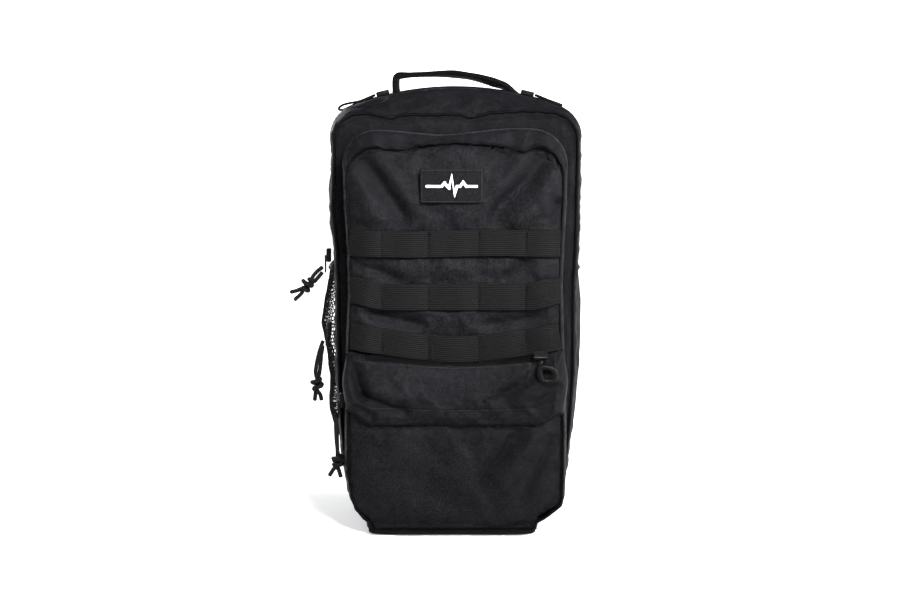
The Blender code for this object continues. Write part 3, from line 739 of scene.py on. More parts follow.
# Each loop's route from its slider's eye, as (along the zip, out from the crown, across it)
LOOP_ROUTES = {
    "left": ((0.001, 0.004, -0.0016), (0.009, 0.0028, -0.0022), (0.018, 0.002, -0.0022),
             (0.027, 0.003, -0.0012), (0.034, 0.0042, 0.0), (0.038, 0.003, 0.0004),
             (0.0355, 0.0, 0.0008), (0.029, -0.0005, 0.0014), (0.02, 0.0008, 0.002),
             (0.01, 0.0022, 0.0022), (0.001, 0.0036, 0.0016)),
    "right": ((0.001, 0.004, -0.0016), (0.008, 0.0032, -0.0026), (0.017, 0.0022, -0.0034),
              (0.025, 0.0018, -0.0028), (0.029, 0.0016, 0.0), (0.025, 0.0018, 0.0028),
              (0.017, 0.0022, 0.0034), (0.008, 0.0028, 0.0026), (0.001, 0.0036, 0.0016)),
}


def build_side_pulls():
    for name, (knot, body, node, first, second) in SIDE_PULLS.items():
        plans = ((first, 1.8, 0.005, 0.4), (second, 1.6, 0.0042, 2.4))
        for number, (route, turns, reach, phase) in enumerate(plans, start=1):
            centre = np.asarray(knot) + np.array([0.0, 0.0, 0.0011 if number == 1 else -0.0011])
            line = knotted(route, centre, turns, reach, phase)
            strand = tube(f"{node}_strand_{number}", line, 0.00205, "cord", body, 10,
                          replaces=(node,) if number == 1 else ())


def crown_place(side, distance, y, lift):
    """A point above the crown, the direction down it to the side, and the direction out of it."""
    x = side * distance
    fall = crown_height(distance + 0.005) - crown_height(distance - 0.005)
    along = np.array([side * 0.01, 0, fall])
    along /= np.linalg.norm(along)
    outward = np.array([-side * along[2], 0, abs(along[0])])
    return np.array([x, y, crown_height(x)]) + outward * lift, along, outward


def build_top_loops():
    for side_name, side in (("left", -1), ("right", 1)):
        route = []
        root, ahead, outward = crown_place(side, 0.07, SLEEVE_Y, 0.002)
        for a, up, across in LOOP_ROUTES[side_name]:
            near = crown_place(side, 0.0768 + a * 0.93, SLEEVE_Y, up)[0]
            straight = root + ahead * (0.0068 + a) + outward * (up - 0.001)
            route.append(near * 0.6 + straight * 0.4 + np.array([0, across, 0]))
        line = smooth_path(route, 60)
        loop = tube(f"sleeve_{side_name}_loop_cord", line, 0.00123, "cord", f"sleeve_{side_name}_slider", 9,
                    replaces=(f"sleeve_{side_name}_loop",))


# Main compartment

def main_seam(x):
    """How far the front wall's top seam waves up and down."""
    return waves(x, (-0.0035, -0.062, 0.01), (-0.0035, 0.016, 0.009), (0.0035, 0.075, 0.035),
                 (0.0015, -0.088, 0.016), (-0.001, -0.02, 0.03))


def zip_arch(x):
    """The same for the front pocket's zip."""
    return waves(x, (-0.004, -0.012, 0.032), (0.0025, 0.062, 0.03), (0.001, -0.075, 0.02))


def panel_seam(x):
    """The same for the front pocket's panel."""
    return waves(x, (-0.0042, -0.0565, 0.013), (-0.0062, 0.0625, 0.0075), (0.0022, 0.0, 0.032),
                 (0.0015, 0.085, 0.014))


def drawn_share(x):
    """How much of the narrowing a point takes, from none in the middle to all of it at the sides."""
    return smoothstep(np.abs(x) / 0.095)


def narrowed(points, left, right):
    """Draws the sides of a ring in, by an amount that depends on the height and side."""
    x, z = points.T
    inward = np.where(x < 0, np.interp(z, *left), np.interp(z, *right))
    return np.stack([x - np.copysign(inward * drawn_share(x), x), z], axis=1)


# How far each side narrows at each height: heights, then amounts
BODY_LEFT = ((0.0, 0.0125, 0.0175, 0.026, 0.035, 0.06, 0.1, 0.14, 0.2, 0.235, 0.27, 0.31, 0.36, 0.42),
             (0.0355, 0.035, 0.029, 0.02, 0.0155, 0.011, 0.0075, 0.0055, 0.0045, 0.005, 0.0038, 0.0,
              -0.0022, 0.0))
BODY_RIGHT = ((0.0, 0.012, 0.018, 0.028, 0.035, 0.06, 0.1, 0.15, 0.24, 0.27, 0.36, 0.42),
              (0.0425, 0.0415, 0.0315, 0.0175, 0.0145, 0.0105, 0.0065, 0.003, 0.0032, 0.0012, 0.0, 0.0))
POCKET_LEFT = ((0.0, 0.013, 0.0175, 0.026, 0.035, 0.06, 0.1, 0.15, 0.19, 0.23, 0.27, 0.32, 0.39),
               (0.0215, 0.0212, 0.015, 0.0085, 0.005, 0.001, 0.001, 0.002, 0.003, 0.005, 0.0045, 0.0015,
                0.0))
POCKET_RIGHT = ((0.0, 0.012, 0.018, 0.028, 0.035, 0.06, 0.1, 0.15, 0.19, 0.24, 0.28, 0.32, 0.39),
                (0.0275, 0.0265, 0.0165, 0.003, 0.001, 0.0, 0.0, 0.001, 0.003, 0.0045, 0.003, 0.001, 0.0))


def at_depth(outline, y):
    """XYZ points from XZ ones."""
    return np.stack([outline[:, 0], np.full(len(outline), y), outline[:, 1]], axis=1)


def lofted(rings):
    """A grid from (points, y) rings, with the ring's points along its first axis."""
    return np.stack([at_depth(outline, y) for outline, y in rings], axis=1)


def outward_of(grid, closed=False):
    """Unit normals of a grid whose first axis runs round the pack and whose second runs across it."""
    du = np.gradient(grid, axis=0)
    if closed:
        du[0] = grid[1] - grid[-1]
        du[-1] = grid[0] - grid[-2]
    dv = np.gradient(grid, axis=1)
    n = np.cross(du, dv)
    n /= np.linalg.norm(n, axis=2, keepdims=True) + 1e-12
    return n


def crumple(grid, amount, scale, seed, keep, closed=False):
    """Moves a grid along its normals by soft noise; keep is a 0 to 1 share for each point."""
    shift = rough(grid, scale, seed) * amount * keep
    return grid + outward_of(grid, closed) * shift[..., None]


def body_ring(inset=0.0, drop=0.0, lean=CROWN_LEAN, wave=0.0, closed=False, radius=CORNER):
    """The pack's outline, drawn in by inset and lowered by drop."""
    r = ring(HALF_WIDTH - inset, 0.0033, CROWN - inset - drop, radius, 0.008, lean, COUNT, closed)
    r = narrowed(r, BODY_LEFT, BODY_RIGHT)
    r[:, 1] += wave * main_seam(r[:, 0]) * smoothstep((r[:, 1] - 0.36) / 0.02)
    return r


def drawn_in(v):
    """A point moved in with the pack's narrowing foot."""
    x = float(narrowed(np.array([(v.x, v.z)]), BODY_LEFT, BODY_RIGHT)[0, 0])
    return Vector((x, v.y, v.z))


def edge_weights(count, sharp):
    """Nothing at both ends of a row of points, rising to 1 over a share of its length."""
    t = np.linspace(0, 1, count)
    return smoothstep(np.minimum(t, 1 - t) / sharp)


def held_edges(shape):
    """Cloth pins along the first and last column."""
    pins = np.zeros(shape[:2])
    pins[:, [0, -1]] = 1
    return pins


# Piping in the darker binding cloth: real piping, and its extra darkness is painted seam shadow.
def piping(name, outline, y, radius, body):
    return tube(name, at_depth(outline, y), radius, "binding", body)


def build_rear_half():
    rings = [(body_ring(inset, closed=True), 0.0722) for inset in (0.105, 0.08, 0.05, 0.028, 0.014)]
    rings += [(body_ring(0.006, closed=True), 0.0716), (body_ring(0.0022, closed=True), 0.069)]
    rings += [(body_ring(0.0, closed=True), y) for y in np.linspace(0.0655, 0.003, 17)]
    grid = lofted(rings)
    y, z = grid[..., 1], grid[..., 2]
    grid[..., 2] -= 0.0035 * smoothstep((y - 0.03) / 0.04) * smoothstep((z - 0.38) / 0.03)
    keep = np.zeros(grid.shape[:2])
    keep[:, 6:] = edge_weights(grid.shape[1] - 6, 0.3)[None, :]
    side = smoothstep((np.abs(grid[..., 0]) - 0.09) / 0.02)
    grid = crumple(grid, 0.0016, (0.03, 0.012, 0.05), 3.1, keep * (0.4 + 0.8 * side), closed=True)
    cloth = surface("rear_half_cloth", grid, "oxford", "pack_back", closed=True, replaces=("rear_shell",))
    pins = np.zeros(grid.shape[:2])
    pins[:, :8], pins[:, -1:] = 1, 1
    pins[grid[..., 2] < 0.012] = 1
    pins[(np.abs(grid[..., 0]) < 0.095) & (grid[..., 2] > 0.4)] = 0.8
    simulated(cloth, pins.ravel(), 0.4, -0.04, 0.0035, 16, bending=2.0)
    thicken(cloth, SHELL_CLOTH, 1.0)
    inner = [(body_ring(0.0022, closed=True), y) for y in (0.0035, 0.02, 0.045, 0.066)]
    inner += [(body_ring(inset, closed=True), 0.0695) for inset in (0.006, 0.03, 0.07, 0.105)]
    surface("rear_half_lining", lofted(inner)[::-1], "lining", "pack_back", closed=True)
    piping("rear_seam_piping", body_ring(-0.0006), 0.069, 0.0013, "pack_back")
    piping("rear_mouth_piping", body_ring(0.0004), 0.0028, 0.0013, "pack_back")


def build_centre_pieces():
    """The middle strips of the walls and linings, which their rings of cloth are sewn to."""
    for name, half, low, high, y, material, body in (
            ("rear_half_centre", 0.022, 0.0045, 0.335, 0.0719, "oxford", "pack_back"),
            ("rear_lining_centre", 0.022, 0.006, 0.335, 0.0692, "lining", "pack_back"),
            ("front_wall_centre", 0.024, 0.005, 0.29, -0.0388, "oxford", "front_half"),
            ("front_lining_centre", 0.024, 0.006, 0.29, -0.0371, "lining", "front_half"),
            ("pocket_lining_centre", 0.02, 0.006, 0.255, -0.0688, "lining", "pocket_front")):
        xs = np.linspace(-half, half, 9)
        grid = np.array([[(x, y, z) for x in xs] for z in np.linspace(low, high, 50)])
        surface(name, grid, material, body, 0.0006, offset=0.0)


def front_band_grid():
    """The side wall from the mouth to the front seam, whose top flattens on the way."""
    grid = lofted([(body_ring(), -0.0145), (body_ring(), -0.0175), (body_ring(0.0002, 0.0015, 18), -0.0205),
                   (body_ring(0.0006, 0.004, 16), -0.024), (body_ring(0.001, 0.007, 13), -0.0275),
                   (body_ring(0.0014, 0.0105, 9, 0.4), -0.031),
                   (body_ring(0.0018, 0.0145, 5, 0.8, radius=0.027), -0.0345),
                   (body_ring(0.0026, 0.0178, 3, 1.0, radius=0.025), -0.0372),
                   (body_ring(0.0036, 0.0192, 2, 1.0, radius=0.024), -0.0386)])
    fine = np.linspace(0, grid.shape[1] - 1, 19)
    low = np.minimum(fine.astype(int), grid.shape[1] - 2)
    share = (fine - low)[None, :, None]
    return grid[:, low] * (1 - share) + grid[:, low + 1] * share


def build_front_half():
    grid = front_band_grid()
    keep = edge_weights(grid.shape[1], 0.35)[None, :] * np.ones(grid.shape[:2])
    x, z = grid[..., 0], grid[..., 2]
    top = smoothstep((z - 0.385) / 0.02)
    gathers = waves(x, (-0.003, -0.062, 0.006), (0.0022, -0.05, 0.008), (-0.0028, 0.016, 0.006),
                    (0.0022, 0.029, 0.009), (-0.0014, -0.02, 0.006), (-0.0016, 0.06, 0.007),
                    (0.0014, -0.08, 0.007), (0.0012, 0.045, 0.006))
    fade = np.linspace(0, 1, grid.shape[1])[None, :] ** 1.5
    grid = grid - outward_of(grid) * (gathers * top * fade)[..., None]
    grid = crumple(grid, -0.0019, (0.022, 0.014, 0.06), 7.7, keep)
    band = surface("front_half_band", grid, "oxford", "front_half", replaces=("front_shell",))
    simulated(band, held_edges(grid.shape).ravel(), 0.5, -0.035, 0.004, 18, bending=1.5)
    thicken(band, SHELL_CLOTH, 1.0)
    walls = [(body_ring(0.0036, 0.0192, 2, 1.0, radius=0.024), -0.0386),
             (body_ring(0.005, 0.0204, 2, 1.0, radius=0.023), -0.0374),
             (body_ring(0.0078, 0.0228, 2, 0.9, radius=0.022), -0.0396),
             (body_ring(0.011, 0.0255, 2, 0.7, radius=0.022), -0.0398),
             (body_ring(0.015, 0.029, 2, 0.4, radius=0.022), -0.0393),
             (body_ring(0.03, 0.038, 2, radius=0.022), -0.0392),
             (body_ring(0.06, 0.06, 2, radius=0.022), -0.0392),
             (body_ring(0.104, 0.16, 2, radius=0.01), -0.0392)]
    wall = lofted(walls)
    keep = np.zeros(wall.shape[:2])
    keep[:, 2:5] = 1.0
    wall = crumple(wall, -0.0016, (0.024, 0.02, 0.04), 1.7, keep)
    surface("front_half_wall", wall, "oxford", "front_half", SHELL_CLOTH, offset=1.0)
    r = body_ring(0.0034, 0.0188, 2, 1.0, radius=0.024)
    r[:, 1] += 0.0003
    r[:, 1] += 0.0004 * np.sin(np.arange(len(r)) * 1.9) * smoothstep((r[:, 1] - 0.36) / 0.03)
    piping("front_seam_piping", r, -0.0393, 0.0017, "front_half")
    piping("front_mouth_piping", body_ring(0.0004), -0.0148, 0.0012, "front_half")
    inner = [(body_ring(0.002), -0.0155), (body_ring(0.005, 0.008, 14), -0.02),
             (body_ring(0.006, 0.02, 6), -0.0335), (body_ring(0.012, 0.026, 2), -0.0372),
             (body_ring(0.05, 0.05, 2), -0.0373), (body_ring(0.104, 0.16, 2, radius=0.01), -0.0373)]
    surface("front_half_lining", lofted(inner)[::-1], "lining", "front_half")


def zip_ring(inset, drop=0.0, wave=0.0, radius=CORNER):
    """The front pocket's outline; wave takes its top from the zip's arch to the panel's seam."""
    r = ring(0.1055 - inset, 0.0035, 0.384 - inset - drop, radius, 0.006, 1.0, COUNT)
    r = narrowed(r, POCKET_LEFT, POCKET_RIGHT)
    high = smoothstep((r[:, 1] - 0.345) / 0.02)
    r[:, 1] += high * ((1 - wave) * zip_arch(r[:, 0]) + wave * panel_seam(r[:, 0]))
    return r


def outline_normals(outline):
    """Outward normals, in XZ, round an outline."""
    n = np.gradient(outline, axis=0)
    n = np.stack([n[:, 1], -n[:, 0]], axis=1)
    n /= np.linalg.norm(n, axis=1, keepdims=True)
    middle = np.array([0.0, 0.2])
    return n * np.sign(((outline - middle) * n).sum(axis=1))[:, None]


def build_zip(name, outline, middle, rear, front, bodies):
    """Two tapes and two coils that meet at the middle plane."""
    out = outline_normals(outline)
    normals = at_depth(out, 0.0)
    lifted = outline + out * 0.0004
    gap = 0.0003
    for part, far, body, sign in (("rear", rear, bodies[0], 1), ("front", front, bodies[1], -1)):
        near = middle + sign * gap
        dips = (-0.0002, -0.0006, -0.0004, 0.0, 0.0)
        tape = lofted([(outline + out * dip, y) for y, dip in zip(np.linspace(near, far, 5), dips)])
        surface(f"{name}_{part}_tape", tape if sign < 0 else tape[::-1], "zip", body, 0.0008,
                replaces=(f"{name}_{part}_tape",))
        coil(f"{name}_{part}_coil", at_depth(lifted, middle), normals, (0, sign * 0.0007, 0), body,
             phase=0.0 if sign > 0 else 0.5)
        sewn = at_depth(lifted, far * 0.75 + near * 0.25)
        stitches(f"{name}_{part}_stitching", sewn, normals, body, slot="zip")


def build_zips():
    build_zip("main_zip", body_ring(0.0008), -0.006, 0.0017, -0.014, ("pack_back", "front_half"))
    build_zip("pocket_zip", zip_ring(0.0004), -0.0567, -0.0519, -0.0616, ("front_half", "pocket_front"))


# Front pocket

def build_gusset():
    grid = lofted([(zip_ring(0.0012), y) for y in (-0.0398, -0.0425, -0.046, -0.049, -0.0516)])
    grid = crumple(grid, -0.001, (0.02, 0.01, 0.03), 5.5, edge_weights(5, 0.4)[None, :])
    surface("pocket_gusset_cloth", grid, "oxford", "front_half", POCKET_CLOTH, replaces=("pocket_gusset",))


def build_panel_band():
    """The panel's rounded rim, from its zip to its seam; returns the seam's points."""
    keys = (0.0, 0.2, 0.4, 0.6, 0.8, 1.0)
    rings = []
    for t in np.linspace(0, 1, 13):
        inset = np.interp(t, keys, (0.001, 0.0011, 0.0013, 0.0017, 0.0022, 0.003))
        drop = np.interp(t, keys, (0.0004, 0.0014, 0.0032, 0.0056, 0.008, 0.009))
        wave = np.interp(t, keys, (0.0, 0.1, 0.35, 0.65, 0.9, 1.0))
        y = np.interp(t, keys, (-0.0618, -0.064, -0.0666, -0.0692, -0.0716, -0.0734))
        rings.append((zip_ring(inset, drop, wave, radius=0.029), y))
    grid = lofted(rings)
    x, z = grid[..., 0], grid[..., 2]
    top = smoothstep((z - 0.35) / 0.015)
    fade = np.linspace(0, 1, grid.shape[1])[None, :]
    gathers = waves(x, *((height, middle * (1 + 0.045 * (1 - fade)), width) for height, middle, width in (
        (-0.0026, -0.0565, 0.005), (0.0022, -0.043, 0.007), (-0.0034, 0.0625, 0.0042), (0.0026, 0.052, 0.005),
        (0.0016, 0.073, 0.006), (-0.0012, 0.004, 0.01), (-0.001, -0.076, 0.005), (-0.001, 0.03, 0.006))))
    grid = grid - outward_of(grid) * (gathers * top * fade ** 0.8)[..., None]
    grid = crumple(grid, -0.0013, (0.02, 0.01, 0.028), 9.3, edge_weights(grid.shape[1], 0.3)[None, :])
    band = surface("pocket_panel_band", grid, "oxford", "pocket_front")
    simulated(band, held_edges(grid.shape).ravel(), 0.6, -0.07, 0.0035, 16, bending=0.6)
    thicken(band, POCKET_CLOTH, 1.0)
    return grid[:, -1]


# Creases as (start, end, width, depth), where start and end are (x, z)
PANEL_CREASES = (
    ((-0.094, 0.367), (-0.046, 0.303), 0.009, -0.0062), ((-0.099, 0.35), (-0.066, 0.297), 0.011, 0.0054),
    ((-0.078, 0.366), (-0.036, 0.312), 0.008, 0.003), ((0.088, 0.364), (0.034, 0.302), 0.01, -0.0062),
    ((0.098, 0.346), (0.056, 0.297), 0.011, 0.0057), ((0.07, 0.362), (0.024, 0.312), 0.008, 0.0027),
    ((0.097, 0.322), (0.086, 0.298), 0.006, -0.0041), ((0.098, 0.362), (0.102, 0.33), 0.006, -0.0027),
    ((-0.1, 0.3), (-0.08, 0.296), 0.006, -0.0022), ((0.06, 0.102), (0.022, 0.05), 0.006, -0.0049),
    ((0.078, 0.1), (0.042, 0.052), 0.006, 0.0041), ((0.092, 0.096), (0.062, 0.036), 0.006, -0.0046),
    ((-0.104, 0.027), (-0.084, 0.013), 0.004, -0.0081), ((0.106, 0.028), (0.079, 0.016), 0.0036, -0.0095),
    ((-0.095, 0.262), (-0.05, 0.246), 0.006, -0.0041), ((0.045, 0.246), (0.068, 0.264), 0.006, -0.0043),
    ((-0.084, 0.214), (-0.03, 0.203), 0.006, -0.0074), ((0.03, 0.203), (0.085, 0.211), 0.006, -0.0054))
LOWER_CREASES = (
    ((-0.098, 0.166), (-0.086, 0.134), 0.0065, -0.01), ((-0.088, 0.137), (-0.044, 0.121), 0.0045, -0.005),
    ((-0.08, 0.144), (-0.04, 0.132), 0.006, 0.003), ((-0.096, 0.128), (-0.076, 0.116), 0.0045, -0.005),
    ((0.088, 0.17), (0.04, 0.132), 0.007, -0.0055), ((0.092, 0.16), (0.056, 0.13), 0.006, 0.0034),
    ((0.1, 0.146), (0.072, 0.126), 0.005, -0.004), ((0.05, 0.116), (0.094, 0.124), 0.004, -0.0014))


def panel_depth(x, z):
    """How far the front pocket's panel stands forward of its seam plane."""
    inside = PANEL_HALF - np.abs(x)
    profile = ((0.0042, -0.003), (0.02, 0.0005), (0.05, 0.0042), (0.1, 0.0075), (0.112, 0.004),
               (0.178, 0.0032), (0.205, 0.004), (0.245, 0.0046), (0.27, 0.005), (0.295, 0.0066),
               (0.312, 0.0064), (0.345, 0.0038), (0.362, 0.0012), (0.3705, 0.0))
    swell = np.interp(z, *zip(*profile)) * smoothstep(inside / 0.022)
    stitch = sum(bell(x, s, 0.009) for s in ROW_STITCHES[1:-1])
    for row_z, amount in ((0.2555, 0.0032), (0.2085, 0.00352)):
        swell = swell + amount * bell(z, row_z, 0.009) * (0.75 - 0.6 * stitch) * smoothstep(inside / 0.02)
    for crease in PANEL_CREASES:
        swell = swell + fold(x, z, *crease)
    return swell


def panel_grid(seam, foot):
    """XZ points of the panel's face, filled in from its seam line towards the middle."""
    columns, rows = 84, 150
    flat = seam[:, [0, 2]]
    left, right = (side[np.argsort(side[:, 1])] for side in (flat[flat[:, 0] < 0], flat[flat[:, 0] > 0]))
    upper = flat[flat[:, 1] > 0.33]
    upper = upper[np.argsort(upper[:, 0])]
    height = PANEL_TOP - foot
    points = np.zeros((columns, rows, 3))
    for i, a in enumerate(np.linspace(-1, 1, columns)):
        for j, b in enumerate(np.linspace(-1, 1, rows)):
            x = PANEL_HALF * a * (1 - 0.055 * abs(b) ** 22)
            z = foot + height * (b + 1) / 2
            z -= (0.03 * b if b > 0 else 0.008 * b) * abs(a) ** 16 * height / 2
            if abs(a) < 0.93:
                z += (np.interp(x, upper[:, 0], upper[:, 1]) - PANEL_TOP) * smoothstep((b - 0.8) / 0.2)
            side = left if x < 0 else right
            limit = abs(np.interp(z, side[:, 1], side[:, 0]))
            points[i, j] = (x * min(limit, 0.103) / PANEL_HALF, 0, z)
    return points


def build_panel_face(seam):
    foot = 0.0042
    points = panel_grid(seam, foot)
    x, z = points[..., 0], points[..., 2]
    edge = np.minimum(PANEL_HALF - np.abs(x), np.minimum(PANEL_TOP - z, z - foot + 0.01))
    depth = panel_depth(x, z) + 0.0013 * rough(points, (0.024, 0.03, 0.018), 4.2) * smoothstep(edge / 0.02)
    rim = np.minimum(PANEL_HALF - np.abs(x), np.maximum(0.37 + panel_seam(x) - z, 0.0))
    points[..., 1] = -0.0736 - depth + 0.0022 * bell(np.maximum(rim, 0), 0.0, 0.003)
    face = surface("pocket_panel_face", points, "oxford", "pocket_front", replaces=("pocket_panel",))
    pins = np.zeros(points.shape[:2])
    pins[:2], pins[-2:], pins[:, :2], pins[:, -2:] = 1, 1, 1, 1
    held = sum(bell(x, stitch, 0.006) for stitch in ROW_STITCHES)
    for number in (1, 2, 3):
        pins = np.maximum(pins, (np.abs(z - row_line(number, x)) < 0.01) * np.clip(0.45 + held, 0, 1))
    pins = np.maximum(pins, (np.abs(z - 0.11) < 0.004) * 0.9)
    simulated(face, pins.ravel(), 0.7, -0.03, 0.006, 20, stiffness=15.0, bending=3.0)
    thicken(face, POCKET_CLOTH, 1.0)
    PANEL["points"] = points_of(face)
    line = seam + np.array([0.0, -0.0009, -0.0002])
    line[:, 2] += 0.0005 * np.sin(np.arange(len(line)) * 2.1) * smoothstep((line[:, 2] - 0.34) / 0.02)
    # Piping in the darker binding cloth, whose colour paints the panel seam's shadow.
    tube("pocket_panel_piping", line, 0.0015, "binding", "pocket_front")
    inner = [(zip_ring(0.003, 0.001), -0.0622), (zip_ring(0.006, 0.012, 0.5), -0.0665),
             (zip_ring(0.01, 0.018, 1.0), -0.069), (zip_ring(0.05, 0.05, radius=0.02), -0.069),
             (zip_ring(0.094, 0.15, radius=0.008), -0.069)]
    surface("pocket_panel_lining", lofted(inner)[::-1], "lining", "pocket_front")


def row_line(number, x):
    """Height of a webbing row's middle at x."""
    if number == 1:
        return 0.2805 + 0.0008 * np.sin(x * 40)
    if number == 2:
        return 0.23 + 0.006 * smoothstep((np.abs(x - 0.002) - 0.066) / 0.03)
    return 0.1805 + 0.0125 * np.clip(np.abs(x - 0.002) / 0.1, 0, 1) ** 1.5


ROW_STITCHES = (-0.097, -0.068, -0.024, 0.023, 0.067, 0.097)
PANEL = {}


def panel_front(x, z, width=0.004):
    """The panel cloth's most forward Y near a point of its face."""
    p = PANEL["points"]
    near = (np.abs(p[:, 0] - x) < width) & (np.abs(p[:, 2] - z) < width)
    return float(p[near, 1].min()) if near.any() else -0.078


def averaged(values):
    """A running mean over nine values."""
    return np.convolve(np.pad(values, 4, mode="edge"), np.ones(9) / 9, mode="valid")


def build_webbing_rows():
    for number in (1, 2, 3):
        xs = np.linspace(-0.0985, 0.0985, 120)
        vs = np.linspace(-0.5, 0.5, 11)
        grid = np.zeros((len(xs), len(vs), 3))
        base = averaged([min(panel_front(x, row_line(number, x) + dz, 0.0035) for dz in (-0.008, 0.0, 0.008))
                         - 0.0021 for x in xs])
        for i, x in enumerate(xs):
            span = np.interp(x, ROW_STITCHES, range(len(ROW_STITCHES)))
            loose = abs(math.sin(math.pi * span)) ** 0.8
            y = base[i] - (0.0011, 0.0015, 0.0016)[number - 1] * loose
            z = row_line(number, x)
            slope = (row_line(number, x + 0.001) - row_line(number, x - 0.001)) / 0.002
            for j, v in enumerate(vs):
                lean = 0.0004 * loose * math.cos(math.pi * v)
                grid[i, j] = (x - v * WEBBING * slope * 0.8, y - lean, z + v * 0.0252)
        band = surface(f"webbing_row_{number}_band", grid, "webbing", "pocket_front", 0.0016, offset=0.0,
                       replaces=(f"webbing_row_{number}",))
        round_edges(band, 0.0004)
        for column, x in enumerate(ROW_STITCHES[1:-1], start=1):
            z = row_line(number, x)
            front = float(np.interp(x, xs, base)) - 0.001
            for k, dx in enumerate((-0.0005, 0.0005)):
                line = np.array([(x + dx, front, z - 0.0118), (x + dx, front, z + 0.0118)])
                # The tacks are real thread in the darker binding cloth, and that darkness is painted shade
                # for the dips at the tacks.
                stitches(f"row_{number}_tack_{column}_{k}", line, FORWARD, "pocket_front", *TACK,
                         slot="webbing", finish="binding")


def square_line(low, high, inset, y):
    """A closed square of points, inset from a box's edges."""
    left, right, foot, top = low[0] + inset, high[0] - inset, low[2] + inset, high[2] - inset
    return np.array([(left, y, foot), (right, y, foot), (right, y, top), (left, y, top), (left, y, foot)])


def build_label():
    low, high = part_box("label_patch")
    y = min(panel_front(x, z) for x in (low[0], 0.0, high[0]) for z in (low[2], high[2])) - 0.0014
    xs, zs = np.linspace(low[0], high[0], 24), np.linspace(low[2], high[2], 14)
    grid = np.array([[(x, y - 0.0006 * math.cos((x + 0.003) * 40), z) for z in zs] for x in xs])
    patch = surface("label_cloth", grid, "label", "pocket_front", 0.0009, offset=0.0,
                    replaces=("label_patch",))
    round_edges(patch, 0.0003)
    front = y - 0.0012
    stitches("label_stitching", square_line(low, high, 0.0016, front), FORWARD, "pocket_front", *SMALL_STITCH)
    left, right = low[0] + 0.0055, high[0] - 0.0055
    middle = (low[2] + high[2]) / 2 - 0.0004
    beat = [(0.0, 0.0), (0.3, 0.0), (0.36, 0.0028), (0.41, 0.0), (0.45, -0.0014), (0.5, 0.0084),
            (0.555, -0.0072), (0.6, 0.0), (0.66, 0.0), (0.72, 0.0034), (0.78, 0.0), (1.0, 0.0)]
    line = np.array([(left + (right - left) * t, front - 0.0001, middle + rise * 1.15) for t, rise in beat])
    flat_line("label_heartbeat", line, 0.0022, "print", "pocket_front")


def flat_line(name, line, width, material, body):
    """A flat printed stroke in the XZ plane with mitred corners."""
    d = np.diff(line[:, [0, 2]], axis=0)
    d /= np.linalg.norm(d, axis=1, keepdims=True)
    n = np.stack([-d[:, 1], d[:, 0]], axis=1)
    joints = [n[0]]
    for a, b in zip(n, n[1:]):
        m = (a + b) / np.linalg.norm(a + b)
        joints.append(m / max(0.45, m.dot(a)))
    joints.append(n[-1])
    grid = np.array([[(q[0] + s * m[0], q[1], q[2] + s * m[1]) for s in (-width / 2, width / 2)]
                     for q, m in zip(line, joints)])
    return surface(name, grid, material, body, 0.00035, offset=0.0, smooth=False)


# Lower pocket

def lower_pocket_grid(us, vs):
    """The bellows' face: u runs across it and v down it."""
    profile_v = (0.0, 0.05, 0.12, 0.22, 0.34, 0.5, 0.66, 0.8, 0.9, 0.96, 1.0)
    profile_y = (0.0, 0.0045, 0.01, 0.0138, 0.0156, 0.016, 0.0158, 0.015, 0.012, 0.006, 0.0)
    grid = np.zeros((len(us), len(vs), 3))
    for i, u in enumerate(us):
        top = 0.172 + 0.008 * abs(u) ** 1.6 - 0.004 * max(0.0, -u - 0.93) / 0.07
        hem = 0.1035 + 0.0135 * smoothstep((u - 0.72) / 0.28) + 0.017 * smoothstep((-u - 0.74) / 0.26)
        side = min(1.0, (1 - abs(u)) / 0.1) ** 0.5
        for j, v in enumerate(vs):
            depth = np.interp(v, profile_v, profile_y) * (0.1 + 0.9 * side)
            droop = 0.003 * math.sin(math.pi * min(1, v * 1.1)) * side
            spread = 1 + 0.035 * math.sin(math.pi * v) ** 2 * abs(u) ** 6
            grid[i, j] = (0.103 * u * spread, -0.0755 - depth, top + (hem - top) * v - droop)
    return grid


